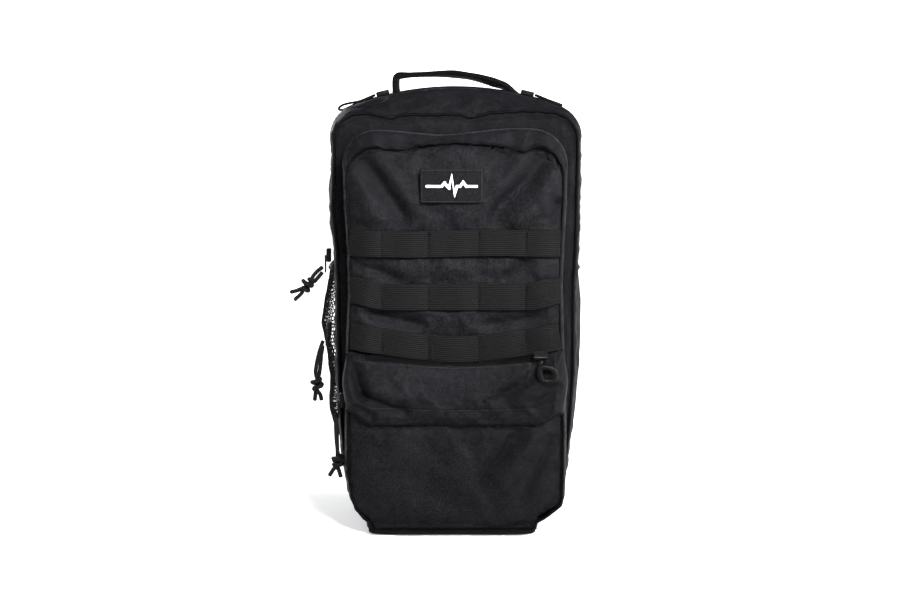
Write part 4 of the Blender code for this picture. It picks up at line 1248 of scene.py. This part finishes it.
def build_lower_pocket():
    columns, rows = 130, 56
    seam_v = 0.68
    us, vs = np.linspace(-1, 1, columns), np.linspace(0, 1, rows)
    grid = lower_pocket_grid(us, vs)
    x, z = grid[..., 0], grid[..., 2]
    inner = smoothstep(np.minimum(1 - np.abs(us)[:, None], 0.2) / 0.12) * smoothstep(
        np.minimum(vs, 1 - vs)[None, :] / 0.12)
    relief = sum(fold(x, z, *crease) for crease in LOWER_CREASES)
    relief = relief - 0.0009 * bell(vs[None, :] * 0.075, seam_v * 0.075, 0.0016)
    relief = relief + 0.0012 * rough(grid, (0.026, 0.03, 0.018), 12.0)
    grid[..., 1] -= relief * inner

    def column_at(v):
        return int(round(v * (rows - 1)))

    cloth = surface("lower_pocket_cloth", grid[::-1], "oxford", "pocket_front", replaces=("lower_pocket",))
    pins = np.zeros(grid.shape[:2])
    pins[:3], pins[-3:], pins[:, :5], pins[:, -2:] = 1, 1, 1, 1
    pins[8:-8, column_at(seam_v)] = 0.35
    simulated(cloth, pins[::-1].ravel(), 0.7, -0.045, 0.006, 20, bending=1.5)
    thicken(cloth, POCKET_CLOTH, -1.0)
    grid = points_of(cloth).reshape(grid.shape)[::-1]
    for name, v, end in (("topstitch", seam_v, 10), ("hem_stitch", 0.965, 14), ("edge_stitch", 0.115, 6)):
        line = grid[end:-end, column_at(v)] + np.array([0, -0.0003, 0])
        stitches(f"lower_pocket_{name}", line, (0, -1.0, 0.2), "pocket_front", 0.003, 0.0021)
    zip_line = grid[12:-12, column_at(0.055)] + np.array([0, -0.0006, 0.0006])
    up = np.array([(0, -0.7, 0.7)] * len(zip_line))
    above, below = np.array([0, 0.0022, 0.0028]), np.array([0, -0.0026, -0.003])
    tape = np.stack([zip_line + above, zip_line, zip_line + below], axis=1)
    surface("lower_zip_cloth", tape[::-1], "zip", "pocket_front", 0.0008, replaces=("lower_zip_tape",))
    for part, shift, phase in (("upper", (0, 0.0005, 0.0006), 0.0), ("lower", (0, -0.0005, -0.0006), 0.5)):
        coil(f"lower_zip_{part}_coil", zip_line, up, shift, "pocket_front", phase, finish="zip")
    low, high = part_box("hem_tab")
    border = [(low[0], high[2] - 0.001), (high[0], high[2] - 0.001), (high[0], low[2] + 0.001),
              (low[0], low[2] + 0.001), (low[0], high[2] - 0.001)]
    stitches("hem_tab_stitching", at_depth(np.array(border), HEM_TAB_FRONT), FORWARD, "pocket_front",
             *SMALL_STITCH)


# Handle

def handle_section():
    """The folded webbing's outline: widths in metres, and heights as shares of its half thickness."""
    half, bead = 0.0092, 0.0009
    upper = [(-half, 0.85), (-half / 2, 1.05), (0, 1.15), (half / 2, 1.05), (half, 0.85)]
    lower = [(w, -h) for w, h in upper]
    return lower + [(half + bead, 0)] + upper[::-1] + [(-half - bead, 0)]


def build_handle():
    count = 90
    path = smooth_path([(-0.0582, 0.415), (-0.0585, 0.429), (-0.0563, 0.4338), (-0.046, 0.4348),
                        (-0.03, 0.4355), (-0.01, 0.436), (0.004, 0.4352), (0.022, 0.4322), (0.04, 0.427),
                        (0.051, 0.4228), (0.062, 0.413)], count)
    along = np.linspace(0, 1, count)
    twist = np.interp(along, (0, 0.15, 0.3, 0.52, 0.62, 0.8, 1.0), (0.0, 0.03, 0.05, 0.24, 0.2, 0.32, 0.0))
    thick = np.interp(along, (0, 0.14, 0.22, 0.55, 0.8, 0.92, 1.0),
                      (0.0034, 0.0033, 0.0024, 0.0024, 0.0024, 0.0031, 0.0034))
    section = handle_section()
    tangents = np.gradient(path, axis=0)
    tangents /= np.linalg.norm(tangents, axis=1, keepdims=True)
    grid = np.zeros((len(section), count, 3))
    for i, ((x, z), t, a) in enumerate(zip(path, tangents, twist)):
        up = np.array([-t[1], 0, t[0]])
        for j, (w, share) in enumerate(section):
            h = share * thick[i]
            y = w * math.cos(a) + h * math.sin(a)
            grid[j, i] = np.array([x, HANDLE_Y + y, z]) + up * (h * math.cos(a) - w * math.sin(a))
    obj = surface("grab_handle_webbing", grid, "webbing", None, closed=True, replaces=("grab_handle",))
    bm = bmesh.new()
    bm.from_mesh(obj.data)
    bmesh.ops.holes_fill(bm, edges=[e for e in bm.edges if e.is_boundary], sides=20)
    bmesh.ops.recalc_face_normals(bm, faces=bm.faces)
    bm.to_mesh(obj.data)
    bm.free()
    obj.data.shade_smooth()
    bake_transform(obj)
    for side_name, side in (("left", -1), ("right", 1)):
        point, along, outward = crown_place(side, 0.0585, HANDLE_Y, 0.0012)
        across = np.array([0.0, 1.0, 0.0])
        corners = [point + along * a * 0.0055 + across * b * 0.0085 + outward * 0.0016
                   for a, b in ((-1, -1), (1, -1), (1, 1), (-1, 1), (-1, -1), (1, 1))]
        stitches(f"handle_anchor_{side_name}_stitching", corners, outward, "pack_back", 0.0022, 0.0016)


# Side pockets

def pouch_grid(side, columns, rows, reach):
    """Points of a side pocket: along the pack's depth, then up."""
    ts, zs = np.linspace(0, 1, columns), np.linspace(0.078, 0.246, rows)
    grid = np.zeros((columns, rows, 3))
    for i, t in enumerate(ts):
        arch = math.sin(math.pi * t)
        for j, z in enumerate(zs):
            root = HALF_WIDTH - np.interp(z, *(BODY_LEFT if side < 0 else BODY_RIGHT)) + 0.0004
            bulge = np.interp(z, *reach) * max(0.0, arch) ** 0.55
            sag = 0.006 * (1 - max(0.0, arch) ** 0.6) * max(0.0, z - 0.2) / 0.046
            grid[i, j] = (side * (root + bulge), 0.0065 + 0.06 * t, z + sag)
    return grid


def frame_pouch(name, grid, hem, edge):
    """A side pocket's webbing hem and its three sewn edges, each as thick as the radius given."""
    tube(f"{name}_hem", grid[:, -1], hem, "webbing", "pack_back")
    for part, line in (("foot", grid[:, 0]), ("front_edge", grid[0]), ("rear_edge", grid[-1])):
        tube(f"{name}_{part}", line, edge, "oxford", "pack_back")


def build_mesh_pocket():
    reach = ((0.078, 0.085, 0.105, 0.14, 0.16, 0.19, 0.215, 0.246),
             (0.003, 0.008, 0.012, 0.0095, 0.012, 0.017, 0.0135, 0.0075))
    grid = pouch_grid(-1, 40, 110, reach)
    grid[..., 0] -= 0.001 * rough(grid, (0.02, 0.02, 0.02), 2.2)
    netting("mesh_pocket_netting", grid, 0.078, 0.168, 0.003, 0.00036, "pack_back", ("mesh_side_pocket",))
    frame_pouch("mesh_pocket", grid, 0.0024, 0.0014)


def netting(name, grid, width, height, pitch, radius, body, replaces):
    """A knitted net of six-sided holes over a grid of points."""
    columns, rows = grid.shape[:2]

    def at(u, v):
        u, v = min(max(u, 0.0), 1.0) * (columns - 1), min(max(v, 0.0), 1.0) * (rows - 1)
        i, j = min(int(u), columns - 2), min(int(v), rows - 2)
        a, b = u - i, v - j
        return ((1 - a) * (1 - b) * grid[i, j] + a * (1 - b) * grid[i + 1, j]
                + (1 - a) * b * grid[i, j + 1] + a * b * grid[i + 1, j + 1])

    across, up = int(width / pitch), int(height / (pitch * 0.6))
    edges = []
    for row in range(0, up + 1, 2):
        shift = 0.0 if row % 4 == 0 else 0.5
        for column in range(across + 1):
            knot = (column + shift, row + 1)
            edges.append(((column + shift, row), knot))
            edges += [(knot, (column + shift + side, row + 2)) for side in (-0.5, 0.5)]
    points, faces = [], []
    for one, two in edges:
        if max(one[0], two[0]) > across or min(one[0], two[0]) < 0 or max(one[1], two[1]) > up:
            continue
        a, b = (Vector(at(end[0] / across, end[1] / up)) for end in (one, two))
        d = (b - a).normalized()
        side = d.cross(Vector((1, 0, 0)))
        if side.length < 0.1:
            side = d.cross(Vector((0, 1, 0)))
        side.normalize()
        above = d.cross(side)
        base = len(points)
        for end in (a, b):
            for s, u in ((-1, -1), (1, -1), (1, 1), (-1, 1)):
                points.append(end + side * s * radius + above * u * radius)
        for k in range(4):
            n = (k + 1) % 4
            faces.append((base + k, base + n, base + 4 + n, base + 4 + k))
        faces.append((base + 3, base + 2, base + 1, base))
        faces.append((base + 4, base + 5, base + 6, base + 7))
    return new_object(name, points, faces, "mesh", body, replaces=replaces)


def build_cloth_pocket():
    reach = ((0.078, 0.09, 0.12, 0.16, 0.19, 0.215, 0.246),
             (0.002, 0.005, 0.0055, 0.0065, 0.0072, 0.007, 0.004))
    grid = pouch_grid(1, 36, 80, reach)
    grid[..., 0] += edge_weights(36, 0.15)[:, None] * 0.0016 * rough(grid, (0.02, 0.016, 0.05), 8.1)
    face = surface("cloth_pocket_face", grid, "oxford", "pack_back", 0.0012, replaces=("cloth_side_pocket",))
    frame_pouch("cloth_pocket", grid, 0.002, 0.0012)


# Carrying side

def padded_copy(name, node, body, voxel, pressure, cap):
    """A pad swollen from a CAD node's shape by cloth simulation."""
    obj, mesh = world_copy(name, node)
    remesh = obj.modifiers.new("remesh", "REMESH")
    remesh.mode = "VOXEL"
    remesh.voxel_size = voxel
    evaluated = obj.evaluated_get(bpy.context.evaluated_depsgraph_get())
    finer = bpy.data.meshes.new_from_object(evaluated)
    obj.modifiers.clear()
    obj.data = finer
    finer.name = name
    normals = np.array([tuple(v.normal) for v in finer.vertices])
    points = points_of(obj) - normals * 0.0012
    finer.vertices.foreach_set("co", points.ravel())
    simulated(obj, None, pressure, 0.0, cap, 20, stiffness=15.0, bending=0.5)
    finer.materials.clear()
    finer.materials.append(MATERIALS["padding"])
    finer.shade_smooth()
    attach(obj, body)
    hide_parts(node)
    detail = obj.modifiers.new("detail", "SUBSURF")
    detail.levels = detail.render_levels = 1
    return obj


def strap_line(side, t):
    return side * (0.046 + 0.036 * math.sin(0.62 * math.pi * t)), 0.3835 + (0.168 - 0.3835) * t


def strap_place(side, t):
    """A point of the strap's middle line, and the direction across it, in XZ."""
    ahead = np.array(strap_line(side, t + 0.01)) - np.array(strap_line(side, t - 0.01))
    ahead /= np.linalg.norm(ahead)
    return np.array(strap_line(side, t)), np.array([ahead[1], -ahead[0]])


# The webbing's route round the ladder lock's upper bar, as (y, z)
LOCK_WRAP = ((0.0935, 0.186), (0.0928, 0.176), (0.092, 0.166), (0.0914, 0.158), (0.0903, 0.1545),
             (0.0885, 0.1535), (0.0867, 0.1545), (0.0856, 0.158), (0.0858, 0.166), (0.0868, 0.176))
ACROSS_WEBBING = np.linspace(-0.5, 0.5, 7) * WEBBING


def strap_facing(side, pad_points):
    """The webbing sewn down the middle of a strap's outer face."""
    grid = []
    for t in np.linspace(0.03, 0.99, 90):
        (x, z), n = strap_place(side, t)
        near = np.hypot(pad_points[:, 0] - x, pad_points[:, 2] - z) < 0.014
        back = float(pad_points[near, 1].max()) if near.any() else 0.094
        grid.append([(x + n[0] * v, back + 0.001, z + n[1] * v) for v in ACROSS_WEBBING])
    grid = np.array(grid)
    grid[..., 1] = averaged(grid[:, 0, 1])[:, None]
    return grid


def build_straps():
    for side_name, side in (("left", -1), ("right", 1)):
        body = f"strap_{side_name}"
        pad = padded_copy(f"shoulder_pad_{side_name}", f"shoulder_strap_{side_name}", body, 0.0045,
                          2.5, 0.0025)
        for edge_name, sign in (("inner", -1), ("outer", 1)):
            line = []
            for t in np.linspace(0.015, 0.985, 90):
                place, n = strap_place(side, t)
                line.append(place + n * sign * (0.0316 - 0.007 * t))
            tube(f"{body}_{edge_name}_binding", at_depth(np.array(line), 0.0885), 0.0022, "webbing", body)
        grid = strap_facing(side, points_of(pad))
        surface(f"{body}_facing", grid, "webbing", body, 0.0016, offset=0.0)
        for spot in (8, 26, 44, 62, 80):
            row = grid[spot] + np.array([0, 0.001, 0])
            stitches(f"{body}_tack_{spot}", row, BACKWARD, body, *TACK)
        middle = strap_line(side, 1.0)[0]
        wrap = smooth_path([(0, y, z) for y, z in LOCK_WRAP], 40)
        wrap = np.array([[(middle + v, q[1], q[2]) for v in ACROSS_WEBBING] for q in wrap])
        surface(f"{body}_lock_wrap", wrap, "webbing", body, 0.0014, offset=0.0)
        dressed(f"{body}_anchor", f"strap_anchor_{side_name}", "pack_back", "webbing", "z", 0.0003,
                levels=2, shape=drawn_in)
        dressed(f"{body}_lower_webbing", f"strap_webbing_{side_name}", "pack_back", "webbing", "z", 0.0003,
                shape=drawn_in)
        dressed(f"{body}_tail", f"strap_tail_{side_name}", f"lock_{side_name}", "webbing", "z", 0.0003)
        dressed(f"{body}_lock", f"ladder_lock_{side_name}", f"lock_{side_name}", "plastic", "x", 0.0006)
    dressed("strap_yoke_cloth", "strap_yoke", "pack_back", "oxford", "x", 0.0006, soft=0.0008, levels=3)


def build_back_panel():
    """The quilted back pad, with two upright channels and three rows across."""
    levels, channel_x = (0.12, 0.21, 0.3), 0.03
    pad = padded_copy("back_pad", "back_panel", "pack_back", 0.0055, 2.0, 0.004)
    p = points_of(pad)
    x, y, z = p.T
    outer = smoothstep((y - 0.0775) / 0.003)
    inward = np.where(x < 0, np.interp(z, *BODY_LEFT), np.interp(z, *BODY_RIGHT))
    x -= np.sign(x) * inward * drawn_share(x)
    beside = np.abs(x)
    channel = np.maximum(bell(beside, channel_x, 0.006), bell(beside, 0.094, 0.005) * (z < 0.39))
    between = (beside > channel_x) * (beside < 0.094)
    cross = np.maximum.reduce([bell(z, level, 0.0055) * between for level in levels])
    p[:, 1] = np.minimum(y - outer * 0.0042 * np.maximum(channel, cross), 0.0838)
    pad.data.vertices.foreach_set("co", p.ravel())
    pad.data.update()
    outline = ring(0.1115, 0.0125, 0.4075, CORNER, 0.01, 17, 200, closed=True)
    line = at_depth(narrowed(outline, BODY_LEFT, BODY_RIGHT), 0.0776)
    tube("back_pad_binding", np.concatenate([line, line[:1]]), 0.0022, "webbing", "pack_back")
    for number, level in enumerate((-channel_x, channel_x)):
        run = np.array([(level, 0.0798, up) for up in np.linspace(0.03, 0.385, 60)])
        stitches(f"back_pad_stitch_{number}", run, BACKWARD, "pack_back", slot="webbing")
    for number, level in enumerate(levels):
        for side_name, side in (("left", -1), ("right", 1)):
            run = np.array([(side * out, 0.0798, level) for out in np.linspace(0.032, 0.092, 20)])
            stitches(f"back_pad_cross_{number}_{side_name}", run, BACKWARD, "pack_back", slot="webbing")


# Small pieces

def build_small_pieces():
    dressed("base_panel_cloth", "base_panel", "pack_back", "oxford", "x", 0.0012, levels=2,
            shape=lambda v: Vector((v.x * 0.7, v.y, v.z)))
    dressed("pocket_base_cloth", "pocket_base", "front_half", "oxford", "x", 0.0006,
            shape=lambda v: Vector((v.x * 0.76, v.y, v.z)))
    rows = [("sleeve_zip_cloth", "sleeve_zip_tape", "pack_back", "zip", "x", 0.0003),
            ("hem_tab_webbing", "hem_tab", "pocket_front", "webbing", "z", 0.0003),
            ("frame_sheet_plastic", "frame_sheet", "pack_back", "plastic", "x", 0.0003),
            ("organiser_cloth", "organiser_panel", "pack_back", "lining", "z", 0.0004)]
    for side in ("left", "right"):
        anchor, slider = f"handle_anchor_{side}", f"sleeve_{side}_slider"
        rows += [(f"{anchor}_webbing", anchor, "pack_back", "webbing", "x", 0.0003),
                 (f"{slider}_metal", slider, slider, "slider", "x", 0.0006)]
    rows += [(f"elastic_row_{number}_band", f"elastic_row_{number}", "pack_back", "elastic", "x", 0.0004)
             for number in (1, 2, 3)]
    for name in ("main_upper", "main_lower", "pocket"):
        rows += [(f"{name}_slider_metal", f"{name}_slider", f"{name}_slider", "slider", "z", 0.0006),
                 (f"{name}_tab_metal", f"{name}_tab", f"{name}_tab", "slider", "z", 0.0004)]
    slider = "lower_pocket_slider"
    rows.append((f"{slider}_metal", slider, slider, "slider", "z", 0.0006))
    for row in rows:
        dressed(*row)


def build_foot_binding():
    """The rolled hem along the panel's foot."""
    line = smooth_path([(-0.08, -0.0715, 0.0062), (-0.077, -0.0738, 0.0042), (-0.05, -0.075, 0.0036),
                        (0.0, -0.0752, 0.0038), (0.048, -0.075, 0.0036), (0.0715, -0.0738, 0.0042),
                        (0.0745, -0.0715, 0.0062)], 80)
    # The darker binding cloth paints shade on the foot hem, where the light from the floor would catch it.
    tube("pocket_foot_binding", line, 0.0028, "binding", "pocket_front", 10)


def build_hinge_cloths():
    """Fixed, bent strips of cloth where the two opening halves meet their foot."""
    for name, one, two, start, middle, end in (
            ("main_hinge_cloth", "pack_back", "front_half",
             (-0.029, 0.0041), (-0.0393, 0.0036), (-0.0402, 0.009)),
            ("pocket_hinge_cloth", "front_half", "pocket_front",
             (-0.064, 0.0086), (-0.0728, 0.0062), (-0.0742, 0.011))):
        profile = smooth_path([(0, *start), (0, *middle), (0, *end)], 14)
        grid = np.array([[(x, q[1], q[2]) for q in profile] for x in np.linspace(-0.078, 0.078, 60)])
        strip = surface(name, grid, "oxford", None, 0.0009, offset=0.0)
        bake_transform(strip)


def build_loop_puller():
    """The moulded loop that pulls the lower pocket's zip."""
    outline = [(0.08, 0.165), (0.0835, 0.166), (0.089, 0.165), (0.0925, 0.1625), (0.0938, 0.1585),
               (0.0925, 0.1545), (0.089, 0.1525), (0.0845, 0.1525), (0.081, 0.1545), (0.0795, 0.1585),
               (0.0792, 0.1625)]
    line = smooth_path([(x, -0.0955, z) for x, z in outline + outline[:2]], 110)[:-8]
    tab = "lower_pocket_tab"
    tube("lower_pocket_loop_puller", line, 0.0029, "plastic", tab, 12, replaces=(tab,))
    core = smooth_path([(0.0785, -0.0945, 0.1655), (0.08, -0.0942, 0.1685), (0.0805, -0.0932, 0.171)], 12)
    tube("lower_pocket_puller_neck", core, 0.0022, "plastic", tab, 10)


def build_inner_pocket():
    half, foot, height = 0.09, 0.06, 0.129
    xs, zs = np.linspace(-half, half, 24), np.linspace(foot, 0.189, 18)
    sag = [[0.0115 * (1 - (abs(x) / half) ** 6) * (0.45 + 0.55 * (z - foot) / height) for z in zs]
           for x in xs]
    grid = np.array([[(x, depth - 0.0362, z) for z, depth in zip(zs, row)] for x, row in zip(xs, sag)])
    netting("inner_pocket_netting", grid, 0.18, height, 0.0034, 0.0004, "front_half", ("inner_mesh_pocket",))
    for name, line in (("top", grid[:, -1]), ("foot", grid[:, 0]), ("left", grid[0]), ("right", grid[-1])):
        tube(f"inner_pocket_{name}_binding", line, 0.0016, "webbing", "front_half")


# Floor and light

def staged(name, points, faces, paint):
    mesh = bpy.data.meshes.new(name)
    mesh.from_pydata(points, [], faces)
    mesh.materials.append(paint)
    placed(name, mesh)


def build_floor():
    size, z = 7.4, -0.0002
    paint = Tree("floor_paint", (0.97, 0.97, 0.97), 0.9, 0.1)
    paint.glow(0.24)
    corners = [(-size, -size, z), (size, -size, z), (size, size, z), (-size, size, z)]
    staged("floor", corners, [(0, 1, 2, 3)], paint.material)


def build_backdrop():
    """A bright ring wall round the studio."""
    radius, count = 7, 64
    paint = Tree("backdrop_paint", (1.0, 1.0, 1.0), 1.0, 0.0)
    paint.glow(1.02)
    points, faces = [], []
    for i in range(count):
        a, k = 2 * math.pi * i / count, (i + 1) % count
        points += [(radius * math.cos(a), radius * math.sin(a), z) for z in (-0.05, 1.6)]
        faces.append((2 * i, 2 * i + 1, 2 * k + 1, 2 * k))
    staged("backdrop", points, faces, paint.material)


def add_light(name, kind, power, aim, place=(0, 0, 0)):
    data = bpy.data.lights.new(name, kind)
    data.energy = power
    lamp = placed(name, data)
    lamp.location = place
    lamp.rotation_euler = (Vector(aim) - Vector(place)).to_track_quat("-Z", "Y").to_euler()
    return data


def build_lights():
    world = bpy.data.worlds.new("studio")
    bpy.context.scene.world = world
    world.use_nodes = True
    background = world.node_tree.nodes["Background"]
    background.inputs["Color"].default_value = (1, 1, 1, 1)
    background.inputs["Strength"].default_value = 0.22
    add_light("sky", "SUN", 0.66, (0.1, 0.25, -1)).angle = math.radians(80)
    add_light("side", "SUN", 1.45, (-0.9, 0.62, -0.62)).angle = math.radians(20)
    middle = (0, 0, 0.25)
    key = add_light("key", "AREA", 3.2, (-0.01, -0.08, 0.285), (0.3, -1.05, 0.86))
    key.size = 0.3
    key.spread = math.radians(30)
    fill = add_light("fill", "AREA", 14, middle, (-1.8, -0.6, 0.5))
    fill.size = 0.6
    fill.color = (0.9, 0.94, 1)
    add_light("rim", "AREA", 88, middle, (1.7, -0.35, 0.7)).size = 0.7
    add_light("back", "AREA", 26, middle, (-0.9, 2.2, 0.9)).size = 0.9
    bpy.context.scene.view_settings.view_transform = "Standard"


def finish_cad_nodes():
    """Every CAD node that still shows gets its slot's detailed material."""
    slots = {row["node"]: row["material_slot"] for row in frame["record"]["subparts"]}
    for name, obj in NODES.items():
        if not obj.hide_render:
            obj.data.materials.clear()
            obj.data.materials.append(MATERIALS[slots[name]])


build_camera()
build_side_pulls()
build_top_loops()
build_rear_half()
build_front_half()
build_centre_pieces()
build_zips()
build_gusset()
seam_line = build_panel_band()
build_panel_face(seam_line)
build_webbing_rows()
build_label()
build_lower_pocket()
build_handle()
build_mesh_pocket()
build_cloth_pocket()
build_straps()
build_back_panel()
build_small_pieces()
build_foot_binding()
build_hinge_cloths()
build_loop_puller()
build_inner_pocket()
build_floor()
build_backdrop()
build_lights()
finish_cad_nodes()
